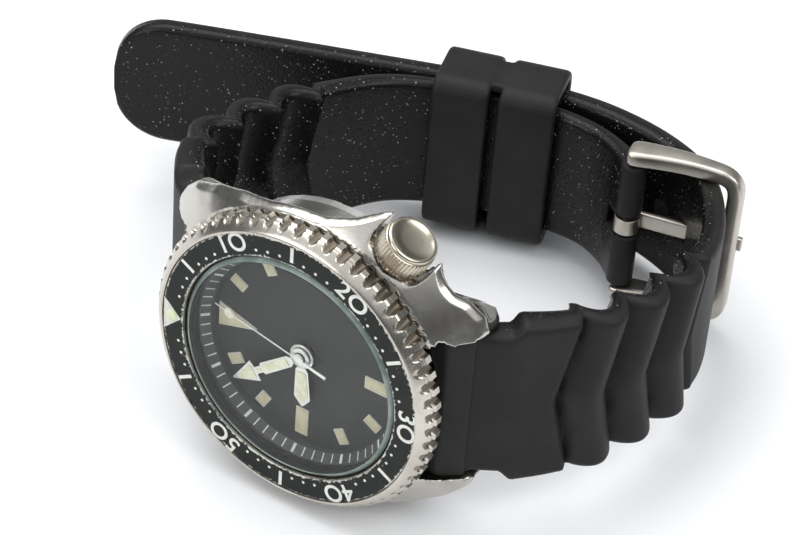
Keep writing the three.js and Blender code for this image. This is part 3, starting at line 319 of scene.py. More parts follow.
def glass():
    """Clear mineral glass that lets the lamps through to the dial; only its outer face (upper) shines."""
    n = Nodes("crystal_glass")
    smears = n.noise(4.0, 4)
    n.tree.nodes.remove(n.shader)
    gloss = n.tree.nodes.new("ShaderNodeBsdfGlossy")
    gloss.inputs["Color"].default_value = (0.96, 0.97, 0.96, 1)
    n.link(n.ramp(smears, 0.3, 0.8, 0.02, 0.12), gloss.inputs["Roughness"])
    clear = n.tree.nodes.new("ShaderNodeBsdfTransparent")
    clear.inputs["Color"].default_value = (0.975, 0.982, 0.978, 1)
    edge = n.tree.nodes.new("ShaderNodeLayerWeight")
    shine = n.maths("MULTIPLY", n.maths("POWER", edge.outputs["Facing"], 5.0), 0.9)
    blend = n.tree.nodes.new("ShaderNodeMixShader")
    amount = n.maths("MULTIPLY", n.maths("ADD", shine, 0.04), n.attribute("upper"))
    n.tree.links.new(amount, blend.inputs[0])
    n.tree.links.new(clear.outputs[0], blend.inputs[1])
    n.tree.links.new(gloss.outputs[0], blend.inputs[2])
    n.tree.links.new(blend.outputs[0], n.tree.nodes["Material Output"].inputs["Surface"])
    return n.material


MATERIALS = {
    "case_steel": steel("case_steel", (0.56, 0.54, 0.495), 0.2, 0.75, (1, 6, 1)),
    "bezel_steel": steel("bezel_steel", (0.58, 0.545, 0.485), 0.23, 0.95, reach=1.4),
    "back_steel": steel("back_steel", (0.66, 0.65, 0.62), 0.34, 0.5, (6, 1, 1)),
    "buckle_steel": steel("buckle_steel", (0.54, 0.505, 0.45), 0.36, 0.4, (9, 1, 1), grain=0.5),
    "bar_steel": steel("bar_steel", (0.6, 0.6, 0.59), 0.3, 0.5),
    "movement_steel": steel("movement_steel", (0.62, 0.62, 0.63), 0.22, 0.15),
    "plate": steel("movement_plate", (0.66, 0.63, 0.56), 0.3, 0.15, (1, 8, 1)),
    "hand_steel": steel("hand_steel", (0.84, 0.84, 0.80), 0.38, 0.1, reach=0.2),
    "brass": brass("gilt_brass", (0.72, 0.58, 0.30)),
    "strap_rubber": rubber("strap_rubber"),
    "keeper_rubber": rubber("keeper_rubber", 0.02),
    "seal_rubber": rubber("seal_rubber", 0.05),
    "insert": insert_material(),
    "lume": painted("lume_pip", (0.62, 0.68, 0.44), (0.74, 0.80, 0.55), 0.5, 0.8),
    "dial_paint": painted("dial_paint", (0.030, 0.031, 0.029), (0.037, 0.038, 0.036), 0.62, 6.0, 0.2, 2.5),
    "chapter": painted("chapter_grey", (0.045, 0.048, 0.048), (0.062, 0.066, 0.066), 0.42),
    "crystal": glass(),
}
MARKER = painted("marker_cream", (0.58, 0.51, 0.33), (0.70, 0.64, 0.45), 0.6, 1.2)
MARKER_RIM = painted("marker_rim", (0.60, 0.60, 0.56), (0.74, 0.73, 0.68), 0.4, 0.8)
HAND_LUME = painted("hand_lume", (0.74, 0.71, 0.50), (0.88, 0.86, 0.68), 0.6, 0.9)
EDGE = painted("crystal_edge_green", (0.16, 0.21, 0.19), (0.30, 0.36, 0.33), 0.2, 3.0, 0.8)
FIGURE = painted("figure_white", (0.66, 0.67, 0.62), (0.82, 0.82, 0.77), 0.5, 0.7)
CROWN_STEEL = steel("crown_steel", (0.52, 0.475, 0.39), 0.2, 0.9, reach=0.6)


# ---------------------------------------------------------------- mesh helpers
def added(name, data):
    """A new object in the scene."""
    thing = bpy.data.objects.new(name, data)
    bpy.context.scene.collection.objects.link(thing)
    return thing


def piece(name, verts, faces, material, body, replaces=(), slot=None, sharp=38, values=None, soft=None):
    """A mesh from points in millimetres, put in place and riding its body. values: name -> per point."""
    mesh = bpy.data.meshes.new(name)
    mesh.from_pydata([HEAD @ Vector(v) for v in verts], [], faces)
    for key, numbers in (values or {}).items():
        layer = mesh.attributes.new(key, "FLOAT", "POINT")
        layer.data.foreach_set("value", numbers)
    work = bmesh.new()
    work.from_mesh(mesh)
    bmesh.ops.remove_doubles(work, verts=work.verts, dist=1e-7)
    bmesh.ops.dissolve_degenerate(work, edges=work.edges, dist=1e-8)
    bmesh.ops.recalc_face_normals(work, faces=work.faces)
    work.to_mesh(mesh)
    work.free()
    mesh.materials.append(material)
    mesh.polygons.foreach_set("use_smooth", [True] * len(mesh.polygons))
    mesh.set_sharp_from_angle(angle=math.radians(sharp))
    thing = added(name, mesh)
    if soft:
        bevel(thing, soft)
    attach(thing, body)
    if replaces:
        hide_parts(*replaces)
    return thing


def bevel(thing, width, segments=3, angle=38):
    mod = thing.modifiers.new("bevel", "BEVEL")
    mod.width = width * MM
    mod.segments = segments
    mod.limit_method = "ANGLE"
    mod.angle_limit = math.radians(angle)
    mod.harden_normals = True


def joined(*parts):
    """Several (verts, faces) as one."""
    verts = []
    faces = []
    for more, rest in parts:
        base = len(verts)
        verts += more
        faces += [tuple(i + base for i in face) for face in rest]
    return verts, faces


def skin(rings, loop=True, round_ends=False):
    """Quads between rows of points. loop: each row closes; round_ends: the last row meets the first."""
    count = len(rings[0])
    verts = [tuple(v) for ring in rings for v in ring]
    faces = []
    rows = len(rings) if round_ends else len(rings) - 1
    for i in range(rows):
        here = i * count
        following = (i + 1) % len(rings) * count
        for j in range(count if loop else count - 1):
            right = (j + 1) % count
            faces.append((here + j, here + right, following + right, following + j))
    if not round_ends and loop:
        faces.append(tuple(range(count - 1, -1, -1)))
        faces.append(tuple((len(rings) - 1) * count + j for j in range(count)))
    return verts, faces


def rounded(outline, radius, steps=3, closed=True):
    """An outline with its corners cut to arcs of about this radius."""
    points = []
    count = len(outline)
    for i, corner in enumerate(outline):
        if not closed and i in (0, count - 1):
            points.append(corner)
            continue
        here = Vector(corner)
        before = Vector(outline[i - 1]) - here
        after = Vector(outline[(i + 1) % count]) - here
        reach = min(radius, before.length * 0.42, after.length * 0.42)
        start = here + before.normalized() * reach
        end = here + after.normalized() * reach
        for step in range(steps + 1):
            t = step / steps
            points.append(tuple(start * (1 - t) ** 2 + here * 2 * t * (1 - t) + end * t ** 2))
    return points


def clock(degrees):
    return math.sin(math.radians(degrees)), math.cos(math.radians(degrees))


def hoop(radius, z, steps):
    """Points round the dial's axis, clockwise from 12 o'clock."""
    turns = [clock(i * 360 / steps) for i in range(steps)]
    return [(radius * sine, radius * cosine, z) for sine, cosine in turns]


def lathe(outline, steps=192):
    """A solid turned about the dial's axis from a closed [r, z] outline."""
    return skin([hoop(r, z, steps) for r, z in outline], round_ends=True)


def prism(outline, low, high):
    count = len(outline)
    verts = [(x, y, low) for x, y in outline] + [(x, y, high) for x, y in outline]
    faces = [tuple(range(count - 1, -1, -1)), tuple(range(count, 2 * count))]
    faces += [(i, (i + 1) % count, count + (i + 1) % count, count + i) for i in range(count)]
    return verts, faces


def placed(part, radius, degrees):
    """A part drawn about (0, 0) with +y outwards, put at a clock angle and a distance."""
    verts, faces = part
    sine, cosine = clock(degrees)
    turned = [(x * cosine + (y + radius) * sine, -x * sine + (y + radius) * cosine, z) for x, y, z in verts]
    return turned, faces


def circle(radius, count=20):
    return [(radius * clock(i * 360 / count)[0], radius * clock(i * 360 / count)[1]) for i in range(count)]


def bar(half, low, high, z0, z1):
    return prism([(-half, low), (half, low), (half, high), (-half, high)], z0, z1)


def turned_to(matrix, part):
    return [tuple(matrix @ Vector(v)) for v in part[0]], part[1]


def ribbon(stations, section):
    """A section carried along stations (centre, side vector, up vector)."""
    rings = []
    for centre, side, up in stations:
        rings.append([Vector(centre) + Vector(side) * p + Vector(up) * q for p, q in section])
    return rings


def rounded_box(half_p, half_q, radius, steps=4):
    corners = [(-half_p, -half_q), (half_p, -half_q), (half_p, half_q), (-half_p, half_q)]
    return rounded(corners, radius, steps)


# ---------------------------------------------------------------- bezel
def bezel_profile():
    """[r, z] down the outside: rim, polished slope, a narrow groove at mid height, and the lower tier."""
    return [(INSERT_R + 0.06, BEZEL_TOP - 0.08), (INSERT_R + 0.12, BEZEL_TOP),
            (INSERT_R + 0.26, BEZEL_TOP), (INSERT_R + 0.42, BEZEL_TOP - 0.08),
            (19.62, -0.08), (19.85, -0.32), (20.08, -0.56), (20.3, -0.82), (20.5, -1.08),
            (20.62, -1.26), (20.64, -1.4), (20.5, -1.5), (20.42, -1.6), (20.5, -1.7),
            (20.74, -1.8), (BEZEL_R, -1.92), (BEZEL_R, -2.2), (BEZEL_R, -2.6), (BEZEL_R, -2.95),
            (BEZEL_R - 0.12, -3.12), (BEZEL_R - 0.35, BEZEL_LOW)]


def bezel():
    per = 16
    steps = NOTCHES * per
    pitch = 2 * math.pi / NOTCHES
    rings = []
    depth = []
    centre = BEZEL_R - NOTCH_DEPTH + NOTCH_R
    for r, z in bezel_profile():
        ring = []
        for i in range(steps):
            angle = i * 2 * math.pi / steps
            off = (angle + pitch / 2) % pitch - pitch / 2
            across = abs(math.sin(off)) * centre
            groove = 99.0
            if across < NOTCH_R:
                groove = centre * math.cos(off) - math.sqrt(NOTCH_R ** 2 - across ** 2)
            radius = min(r, groove)
            ring.append((radius * math.sin(angle), radius * math.cos(angle), z))
        rings.append(ring)
    inside = [(BEZEL_BORE, BEZEL_LOW), (BEZEL_BORE, -0.9), (INSERT_RI - 0.05, -0.9),
              (INSERT_RI - 0.05, -0.5), (INSERT_R + 0.05, -0.5)]
    for r, z in inside:
        rings.append(hoop(r, z, steps))
    verts, faces = skin(rings, round_ends=True)
    # groove is 1 in the notch grooves, which bezel_steel paints with brown shade
    grooves = []
    for r, _ in bezel_profile():
        for i in range(steps):
            off = abs((i + per // 2) % per - per // 2) / (per // 2)
            grooves.append(1.0 if off < 0.5 and r > centre - NOTCH_R + 0.1 else 0.0)
    grooves += [0.0] * (len(inside) * steps)
    piece("bezel_scalloped_ring", verts, faces, MATERIALS["bezel_steel"], "bezel", ["bezel_ring"],
          "bezel_steel", sharp=32, values={"groove": grooves})


def insert():
    outline = [(INSERT_RI, -0.45), (INSERT_RI, -0.1), (INSERT_RI + 0.08, -0.02)]
    steps = 14
    for i in range(steps + 1):
        outline.append((INSERT_RI + 0.2 + (INSERT_R - INSERT_RI - 0.38) * i / steps, 0))
    outline += [(INSERT_R - 0.08, -0.02), (INSERT_R, -0.1), (INSERT_R, -0.45)]
    verts, faces = lathe(outline, 240)
    middle = (INSERT_R + INSERT_RI) / 2
    half = (INSERT_R - INSERT_RI) / 2
    rim = [max(0.0, (abs(math.hypot(x, y) - middle) / half - 0.7) / 0.3) ** 1.2 for x, y, _ in verts]
    piece("insert_disc", verts, faces, MATERIALS["insert"], "bezel", ["bezel_insert"], "insert",
          values={"rim": rim})


def lettering(text, size, turn, radius, z, high):
    """A number drawn with its top outwards, as a thin raised mesh."""
    curve = bpy.data.curves.new("figures", "FONT")
    curve.body = text
    curve.size = size
    curve.align_x = "CENTER"
    curve.align_y = "CENTER"
    curve.extrude = high / 2
    curve.bevel_depth = 0.06
    curve.bevel_resolution = 1
    curve.space_character = 1.08
    thing = added("figures", curve)
    flat = thing.to_mesh()
    flatten = high / 2 / (curve.extrude + curve.bevel_depth)
    verts = [(v.co.x, v.co.y, v.co.z * flatten + z) for v in flat.vertices]
    faces = [tuple(p.vertices) for p in flat.polygons]
    thing.to_mesh_clear()
    bpy.data.objects.remove(thing)
    return placed((verts, faces), radius, turn)


def bezel_figures():
    low, high = -0.05, 0.025
    parts = []
    for minute in range(1, 60):
        turn = minute * 6
        if minute % 10 == 5:
            parts.append(placed(bar(0.24, 16.55, 18.75, low, high), 0, turn))
        elif minute % 10 not in (0, 1, 9):
            parts.append(placed(prism(circle(0.2, 14), low, high), DOT_R, turn))
    for minute in (10, 20, 30, 40, 50):
        # zeros are drawn with the rounder letter O
        text = str(minute).replace("0", "O")
        parts.append(lettering(text, FIGURE_SIZE, minute * 6, FIGURE_R, 0.0, 0.05))
    verts, faces = joined(*parts)
    piece("bezel_figures", verts, faces, FIGURE, "bezel", sharp=20)
    triangle = rounded([(-2.5, 18.8), (2.5, 18.8), (0.0, 16.2)], 0.15)
    verts, faces = prism(triangle, low, high)
    piece("bezel_triangle", verts, faces, MARKER_RIM, "bezel", sharp=20)
    dome = [(0, -0.4), (0.85, -0.4), (0.85, 0.02), (0.8, 0.14), (0.62, 0.26), (0.34, 0.34), (0, 0.37)]
    verts, faces = lathe(dome, 32)
    verts = [(x, y + 17.55, z) for x, y, z in verts]
    piece("lume_pearl", verts, faces, MATERIALS["lume"], "bezel", ["bezel_pip"], "lume")


# ---------------------------------------------------------------- crystal, chapter ring, dial
def crystal():
    outline = [(0, -1.75), (CRYSTAL_R, -1.75), (CRYSTAL_R, -0.55), (CRYSTAL_R - 0.1, -0.42),
               (CRYSTAL_R - 0.55, 0.02), (CRYSTAL_R - 0.65, 0.05), (0, 0.05)]
    verts, faces = lathe(outline, 128)
    edge = [(CRYSTAL_R - 0.5, -0.02), (CRYSTAL_R - 0.08, -0.4), (CRYSTAL_R, -0.6), (CRYSTAL_R - 0.2, -0.6),
            (CRYSTAL_R - 0.6, -0.12)]
    piece("crystal_edge", *lathe(edge, 128), EDGE, "watch", sharp=30)
    upper = [1.0 if z > -1.0 else 0.0 for _, _, z in verts]
    piece("crystal_disc", verts, faces, MATERIALS["crystal"], "watch", ["crystal"], "crystal", sharp=5,
          values={"upper": upper})


def chapter_ring():
    outline = [(CHAPTER_RI, -4.25), (DIAL_R, -4.25), (DIAL_R, -2.15), (DIAL_R - 0.2, -2.15),
               (CHAPTER_RI + 0.06, -3.16), (CHAPTER_RI, -3.24)]
    verts, faces = lathe(outline, 192)
    piece("chapter_slope", verts, faces, MATERIALS["chapter"], "watch", ["chapter_ring"], "chapter",
          sharp=20)
    slope = math.atan2(1.01, DIAL_R - 0.2 - CHAPTER_RI - 0.06)
    parts = []
    for minute in range(60):
        long = minute % 5 == 0
        tick = bar(0.2 if long else 0.085, 0.02, 1.22, -0.02, 0.025)
        tilted = turned_to(Matrix.Rotation(slope, 4, "X"), tick)
        lifted = [(x, y, z - 3.16) for x, y, z in tilted[0]]
        parts.append(placed((lifted, tilted[1]), CHAPTER_RI + 0.06, minute * 6))
    verts, faces = joined(*parts)
    piece("minute_track", verts, faces, FIGURE, "watch", sharp=20)


def dial_markers():
    """Cream blocks with pale rims: a triangle at 12, long bars at 6 and 9, short ones between."""
    shapes = {0: [(-1.85, 13.3), (1.85, 13.3), (0.12, 7.5), (-0.12, 7.5)]}
    for hour in (1, 2, 7, 8, 10, 11):
        shapes[hour] = [(-0.8, 10.9), (0.8, 10.9), (0.8, 13.2), (-0.8, 13.2)]
    for hour in (6, 9):
        shapes[hour] = [(-0.95, 8.9), (0.95, 8.9), (0.95, 13.1), (-0.95, 13.1)]
    rims = []
    fills = []
    for hour, outline in shapes.items():
        middle = sum((Vector(point) for point in outline), Vector((0, 0))) / len(outline)
        inner = []
        for point in outline:
            away = Vector(point) - middle
            inner.append(tuple(Vector(point) - Vector((math.copysign(min(0.13, abs(away.x)), away.x),
                                                       math.copysign(0.13, away.y)))))
        rims.append(placed(prism(rounded(outline, 0.12), DIAL_TOP - 0.02, DIAL_TOP + 0.1), 0, hour * 30))
        fills.append(placed(prism(rounded(inner, 0.1), DIAL_TOP + 0.02, DIAL_TOP + 0.15), 0, hour * 30))
    piece("marker_rims", *joined(*rims), MARKER_RIM, "watch", sharp=20)
    piece("marker_fills", *joined(*fills), MARKER, "watch", sharp=20)


def dial():
    outline = [(DIAL_HOLE_R, DIAL_TOP - 0.4), (DIAL_R, DIAL_TOP - 0.4), (DIAL_R, DIAL_TOP),
               (DIAL_HOLE_R, DIAL_TOP)]
    verts, faces = lathe(outline, 128)
    piece("dial_disc", verts, faces, MATERIALS["dial_paint"], "watch", ["dial"], "dial_paint", sharp=20)
    dial_markers()


# ---------------------------------------------------------------- hands
def hand_outline(half):
    return half + [(-x, y) for x, y in reversed(half)]


def hand(name, node, body, half, lume, hub, low, high, turn, bore):
    """A polished hand with a raised lume field, over its hub disc."""
    blade = placed(prism(hand_outline(half), low, high), 0, turn)
    cap = lathe([(bore, low - 0.02), (hub, low - 0.02), (hub, high - 0.02), (hub - 0.12, high + 0.06),
                 (bore, high + 0.06)], 40)
    verts, faces = joined(blade, cap)
    piece(name, verts, faces, MATERIALS["hand_steel"], body, [node], "hand_steel", soft=0.05)
    fields = []
    for field in lume:
        outline = rounded(hand_outline(field), 0.1)
        fields.append(placed(prism(outline, high - 0.02, high + 0.07), 0, turn))
    if fields:
        piece(name + "_lume", *joined(*fields), HAND_LUME, body, sharp=20)


def hands():
    hand("hour_sword", "hour_hand", "hours",
         [(0.7, 0.4), (0.5, 1.6), (0.95, 2.2), (1.22, 6.5), (0.12, 7.75)],
         [[(0.68, 2.45), (0.92, 6.3), (0.25, 7.1)]], 1.75, -3.5, -3.3, HOUR_TURN, 1.2)
    hand("minute_arrow", "minute_hand", "minutes",
         [(0.6, 0.4), (0.45, 1.5), (0.8, 2.0), (0.85, 7.0), (0.5, 7.2), (0.5, 8.3), (1.55, 8.4),
          (0.12, 12.7)],
         [[(0.55, 2.3), (0.6, 6.8)], [(0.2, 7.3), (0.2, 8.3)], [(1.1, 8.7), (0.2, 11.6)]],
         1.45, -3.08, -2.88, MINUTE_TURN, 0.83)
    second = hand_outline([(0.26, -4.3), (0.2, -1.0), (0.11, 0.6), (0.09, 13.1)])
    blade = placed(prism(second, -2.62, -2.47), 0, SECOND_TURN)
    disc = placed(prism(circle(0.78), -2.62, -2.47), SECOND_SPOT_Y, SECOND_TURN)
    cap = lathe([(0, -2.64), (0.85, -2.64), (0.85, -2.45), (0.7, -2.36), (0.32, -2.32), (0, -2.22)], 32)
    verts, faces = joined(blade, disc, cap)
    piece("second_needle", verts, faces, MATERIALS["hand_steel"], "seconds", ["second_hand"], "hand_steel",
          soft=0.03)
    spot = placed(prism(circle(0.6), -2.5, -2.4), SECOND_SPOT_Y, SECOND_TURN)
    piece("second_needle_lume", *spot, HAND_LUME, "seconds", sharp=20)


# ---------------------------------------------------------------- case and crown
def smoothstep(value, low, high):
    t = min(max((value - low) / (high - low), 0.0), 1.0)
    return t * t * (3 - 2 * t)


def shoulder(radius):
    """Height of the case's domed top, away from the bezel."""
    out = max(0.0, radius - BEZEL_R + 0.25)
    return -3.3 - 0.78 * out - 0.04 * out * out


def undercut(point):
    """The top keeps to its dome; guards, flanks and lugs curve in under their rim, clear of the crown."""
    radius = math.hypot(point.x, point.y)
    gap = shoulder(radius) - point.z
    if radius > BEZEL_R:
        point = point + Vector((0, 0, gap * (1 - smoothstep(abs(gap), 0.08, 0.4))))
    depth = max(0.0, gap - RIM_DEPTH)
    if depth == 0 or radius < FLANK_NEAREST or abs(point.x) < LUG_INSIDE:
        return point
    sine, cosine = clock(CROWN_AT)
    beside = abs(point.x * cosine - point.y * sine)
    if point.x < 0:
        beside = 99.0
    seat = 1 - smoothstep(beside, 4.2, 6.0)
    along_lug = smoothstep(abs(point.y), 16.0, 19.5)
    limit = FLANK_NEAREST + SEAT_EXTRA * seat
    inward = max(limit, radius - 1.1 * depth) if radius > limit else radius
    around = Vector((point.x * inward / radius, point.y * inward / radius, point.z))
    side = abs(point.x)
    if side > LUG_NARROWEST:
        side = max(LUG_NARROWEST, side - 0.8 * depth)
    beyond = Vector((math.copysign(side, point.x), point.y, point.z))
    share = smoothstep(abs(point.x), LUG_INSIDE, LUG_INSIDE + 2)
    return point.lerp(around.lerp(beyond, along_lug), share)


def case():
    """The CAD case, melted to soft edges, with guards, flanks and lugs that curve under."""
    source = added("case_blank", frame["nodes"]["case_body"].data.copy())
    soften(source, MELT_VOXEL, CASE_MELT)
    graph = bpy.context.evaluated_depsgraph_get()
    mesh = bpy.data.meshes.new_from_object(source.evaluated_get(graph))
    bpy.data.objects.remove(source)
    mesh.name = "case_shell"
    back = HEAD.inverted()
    for vertex in mesh.vertices:
        vertex.co = HEAD @ undercut(back @ vertex.co)
    mesh.materials.clear()
    mesh.materials.append(MATERIALS["case_steel"])
    mesh.polygons.foreach_set("use_smooth", [True] * len(mesh.polygons))
    thing = added("case_shell", mesh)
    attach(thing, "watch")
    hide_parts("case_body")


def crown_matrix():
    sine, cosine = clock(CROWN_AT)
    along = Vector((sine, cosine, 0))
    side = Vector((cosine, -sine, 0))
    up = Vector((0, 0, 1))
    turn = Matrix((side, up, along)).transposed().to_4x4()
    return Matrix.Translation((0, 0, CROWN_Z)) @ turn


def crown():
    """A fine straight knurl between plain rims, and a polished face, slightly dished."""
    teeth = 44
    per = 8
    steps = teeth * per
    levels = [(2.5, CROWN_IN + 2.4, 0), (2.5, CROWN_IN + 0.02, 0), (CROWN_R - 0.35, CROWN_IN, 0),
              (CROWN_R - 0.1, CROWN_IN + 0.12, 0.6), (CROWN_R, CROWN_IN + 0.3, 1),
              (CROWN_R, CROWN_IN + 1.4, 1),
              (CROWN_R, CROWN_IN + 2.5, 1), (CROWN_R - 0.04, CROWN_OUT - 0.85, 0.8),
              (CROWN_R - 0.14, CROWN_OUT - 0.7, 0),
              (CROWN_R - 0.3, CROWN_OUT - 0.62, 0), (CROWN_R - 0.3, CROWN_OUT - 0.5, 0),
              (CROWN_R - 0.2, CROWN_OUT - 0.4, 0), (CROWN_R - 0.22, CROWN_OUT - 0.22, 0),
              (CROWN_R - 0.36, CROWN_OUT - 0.06, 0), (CROWN_R - 0.6, CROWN_OUT, 0),
              (CROWN_R - 0.82, CROWN_OUT - 0.05, 0),
              (CROWN_R - 1.1, CROWN_OUT - 0.2, 0), (1.4, CROWN_OUT - 0.3, 0), (0.6, CROWN_OUT - 0.33, 0),
              (0, CROWN_OUT - 0.34, 0)]
    rings = []
    for r, z, knurl in levels:
        ring = []
        for i in range(steps):
            wave = abs((i % per) / per * 2 - 1)
            radius = r - 0.24 * knurl * (1 - wave) ** 0.8 if r > 0 else 0
            angle = 2 * math.pi * i / steps
            ring.append((radius * math.cos(angle), radius * math.sin(angle), z))
        rings.append(ring)
    part = skin(rings)
    verts, faces = turned_to(crown_matrix(), (part[0], part[1][:-2] + [part[1][-2]]))
    piece("crown_knurled", verts, faces, CROWN_STEEL, "crown_and_stem", ["crown"], "case_steel", sharp=35)


# ---------------------------------------------------------------- strap
def spline(points, per=24):
    """A centripetal Catmull-Rom curve through (y, z, thickness, half width) points, sampled in turn."""
    places = [Vector((p[0], p[1])) for p in points]
    places = [places[0] * 2 - places[1], *places, places[-1] * 2 - places[-2]]
    samples = []
    for i in range(1, len(places) - 2):
        before, start, end, after = places[i - 1:i + 3]
        steps = ((before, start), (start, end), (end, after))
        past, now, next_span = [max(math.sqrt((b - a).length), 1e-6) for a, b in steps]
        leaving = (start - before) / past - (end - before) / (past + now) + (end - start) / now
        coming = (end - start) / now - (after - start) / (now + next_span) + (after - end) / next_span
        leaving *= now
        coming *= now
        for step in range(per):
            t = step / per
            spot = (start * (2 * t ** 3 - 3 * t ** 2 + 1) + leaving * (t ** 3 - 2 * t ** 2 + t)
                    + end * (3 * t ** 2 - 2 * t ** 3) + coming * (t ** 3 - t ** 2))
            size = [points[i - 1][k] + (points[i][k] - points[i - 1][k]) * t for k in (2, 3)]
            samples.append((spot, *size))
    samples.append((places[-2], points[-1][2], points[-1][3]))
    return samples


class Route:
    def __init__(self, points):
        self.samples = spline(points)
        self.lengths = [0.0]
        for a, b in zip(self.samples, self.samples[1:]):
            self.lengths.append(self.lengths[-1] + (b[0] - a[0]).length)
        self.length = self.lengths[-1]

    def at(self, s):
        """Place, tangent, thickness and half width at a distance along."""
        s = min(max(s, 0.0), self.length - 1e-6)
        low, high = 0, len(self.lengths) - 1
        while high - low > 1:
            middle = (low + high) // 2
            if self.lengths[middle] <= s:
                low = middle
            else:
                high = middle
        a, b = self.samples[low], self.samples[high]
        t = (s - self.lengths[low]) / (self.lengths[high] - self.lengths[low])
        place = a[0].lerp(b[0], t)
        way = (b[0] - a[0]).normalized()
        return place, way, a[1] + (b[1] - a[1]) * t, a[2] + (b[2] - a[2]) * t


def wave(s):
    """Height of the corrugation: broad rounded bars with narrow folds between them."""
    phase = (s - WAVE_START) / WAVE_PITCH
    if phase < 0 or phase > WAVE_COUNT:
        return 0.0
    fade = min(1.0, phase / 0.2, (WAVE_COUNT - phase) / 0.2)
    fade = fade * fade * (3 - 2 * fade)
    return fade * WAVE_LIFT * (2 * abs(math.sin(math.pi * (phase - 0.25))) ** 0.75 - 1)


def strap_columns():
    """Places across the strap, -1 to 1, close together at the edges."""
    inner = [-0.9 + 1.8 * i / 14 for i in range(15)]
    return [-1.0, -0.99, -0.965, -0.93, *inner, 0.93, 0.965, 0.99, 1.0]


def edge_drop(column, half, thickness):
    """How far the face sinks at the rounded edge."""
    radius = min(1.0, thickness * 0.42)
    into = abs(column) * half - (half - radius)
    return 0.0 if into <= 0 else radius - math.sqrt(max(radius ** 2 - into ** 2, 0.0))


def strap_mesh(path, outside, tip_round):
    """Rows of points round the strap. Returns verts, faces and each point's inner value."""
    columns = strap_columns()
    rings = []
    inner = []
    count = int(path.length / STRAP_STEP)
    for i in range(count + 1):
        s = path.length * i / count
        _, _, _, half = path.at(s)
        from_tip = path.length - s
        if tip_round and from_tip < tip_round:
            half -= (1 - math.sqrt(max(0.0, 1 - (1 - from_tip / tip_round) ** 2))) * tip_round * 0.95
        faces = {1: [], -1: []}
        for column in columns:
            lift = wave(s + CHEVRON * (1 - abs(column)))
            place, way, thick, _ = path.at(s)
            normal = Vector((way.y, -way.x)) * outside
            skin_half = thick / 2 - edge_drop(column, half, thick)
            for side in (1, -1):
                spot = place + normal * (lift + side * skin_half)
                faces[side].append((half * column, spot.x, spot.y))
        rings.append(faces[1] + faces[-1][::-1])
        inner += [0.0] * len(columns) + [1.0] * len(columns)
    verts, quads = skin(rings)
    return verts, quads, inner


def eye(y, z, radius, half):
    """The rounded strap end round a spring bar."""
    turns = [a * math.pi / 14 for a in range(28)]
    section = []
    for x, r in [(-half, radius - 0.5), (-half + 0.15, radius - 0.12), (-half + 0.5, radius),
                 (half - 0.5, radius), (half - 0.15, radius - 0.12), (half, radius - 0.5)]:
        section.append([(x, y + r * math.cos(turn), z + r * math.sin(turn)) for turn in turns])
    return skin(section)


def strap_end(sign):
    """The strap's solid end between the lugs, following the case's round wall."""
    rings = []
    for i in range(25):
        x = -10.75 + 21.5 * i / 24
        wall = math.sqrt(18.6 ** 2 - x ** 2)
        top = -5.4 - 0.35 * (abs(x) > 10.5)
        section = rounded([(wall, top), (19.4, top), (21.9, -7.9), (21.3, -10.6), (wall, -10.8)], 0.5, 3)
        rings.append([(x, y * sign, z) for y, z in section])
    return skin(rings)


def cutter(name, part):
    """A helper solid for a boolean, removed after use."""
    mesh = bpy.data.meshes.new(name)
    mesh.from_pydata([HEAD @ Vector(v) for v in part[0]], [], part[1])
    work = bmesh.new()
    work.from_mesh(mesh)
    bmesh.ops.recalc_face_normals(work, faces=work.faces)
    work.to_mesh(mesh)
    work.free()
    thing = added(name, mesh)
    return thing


def carve(thing, tools, operation="DIFFERENCE"):
    """Applies booleans with each tool, then drops the tools."""
    for tool in tools:
        mod = thing.modifiers.new("cut", "BOOLEAN")
        mod.operation = operation
        mod.solver = "EXACT"
        mod.object = tool
    graph = bpy.context.evaluated_depsgraph_get()
    mesh = bpy.data.meshes.new_from_object(thing.evaluated_get(graph))
    thing.modifiers.clear()
    thing.data = mesh
    for tool in tools:
        bpy.data.objects.remove(tool)
    mesh.polygons.foreach_set("use_smooth", [True] * len(mesh.polygons))
    mesh.set_sharp_from_angle(angle=math.radians(42))


LONG = Route(LONG_ROUTE)
SHORT = Route(SHORT_ROUTE)


def nearest(path, y, z):
    best = min(range(int(path.length * 10)), key=lambda i: (path.at(i / 10)[0] - Vector((y, z))).length)
    return best / 10


def hole_tool(s, number):
    place, way, _, _ = LONG.at(s)
    normal = Vector((way.y, -way.x))
    rings = []
    for reach in (-5, 5):
        spot = place + normal * reach
        ring = []
        for i in range(24):
            angle = 2 * math.pi * i / 24
            along = way * (HOLE_R * math.sin(angle))
            ring.append((HOLE_R * math.cos(angle), spot.x + along.x, spot.y + along.y))
        rings.append(ring)
    return cutter(f"hole_tool_{number}", skin(rings))


def buckle_matrix():
    """Buckle frame: +x from its spring bar to its outer bar, +y outwards, +z across."""
    bar_at = Vector(BUCKLE_BAR)
    along = (Vector(BUCKLE_OUTER) - bar_at).normalized()
    across = Vector((-along.y, along.x))
    x_way = Vector((0, along.x, along.y))
    y_way = Vector((0, across.x, across.y))
    z_way = Vector((1, 0, 0))
    turn = Matrix((x_way, y_way, z_way)).transposed().to_4x4()
    return Matrix.Translation((0, *BUCKLE_BAR)) @ turn


def block(x0, x1, y0, y1, z0, z1):
    return prism([(x0, y0), (x1, y0), (x1, y1), (x0, y1)], z0, z1)


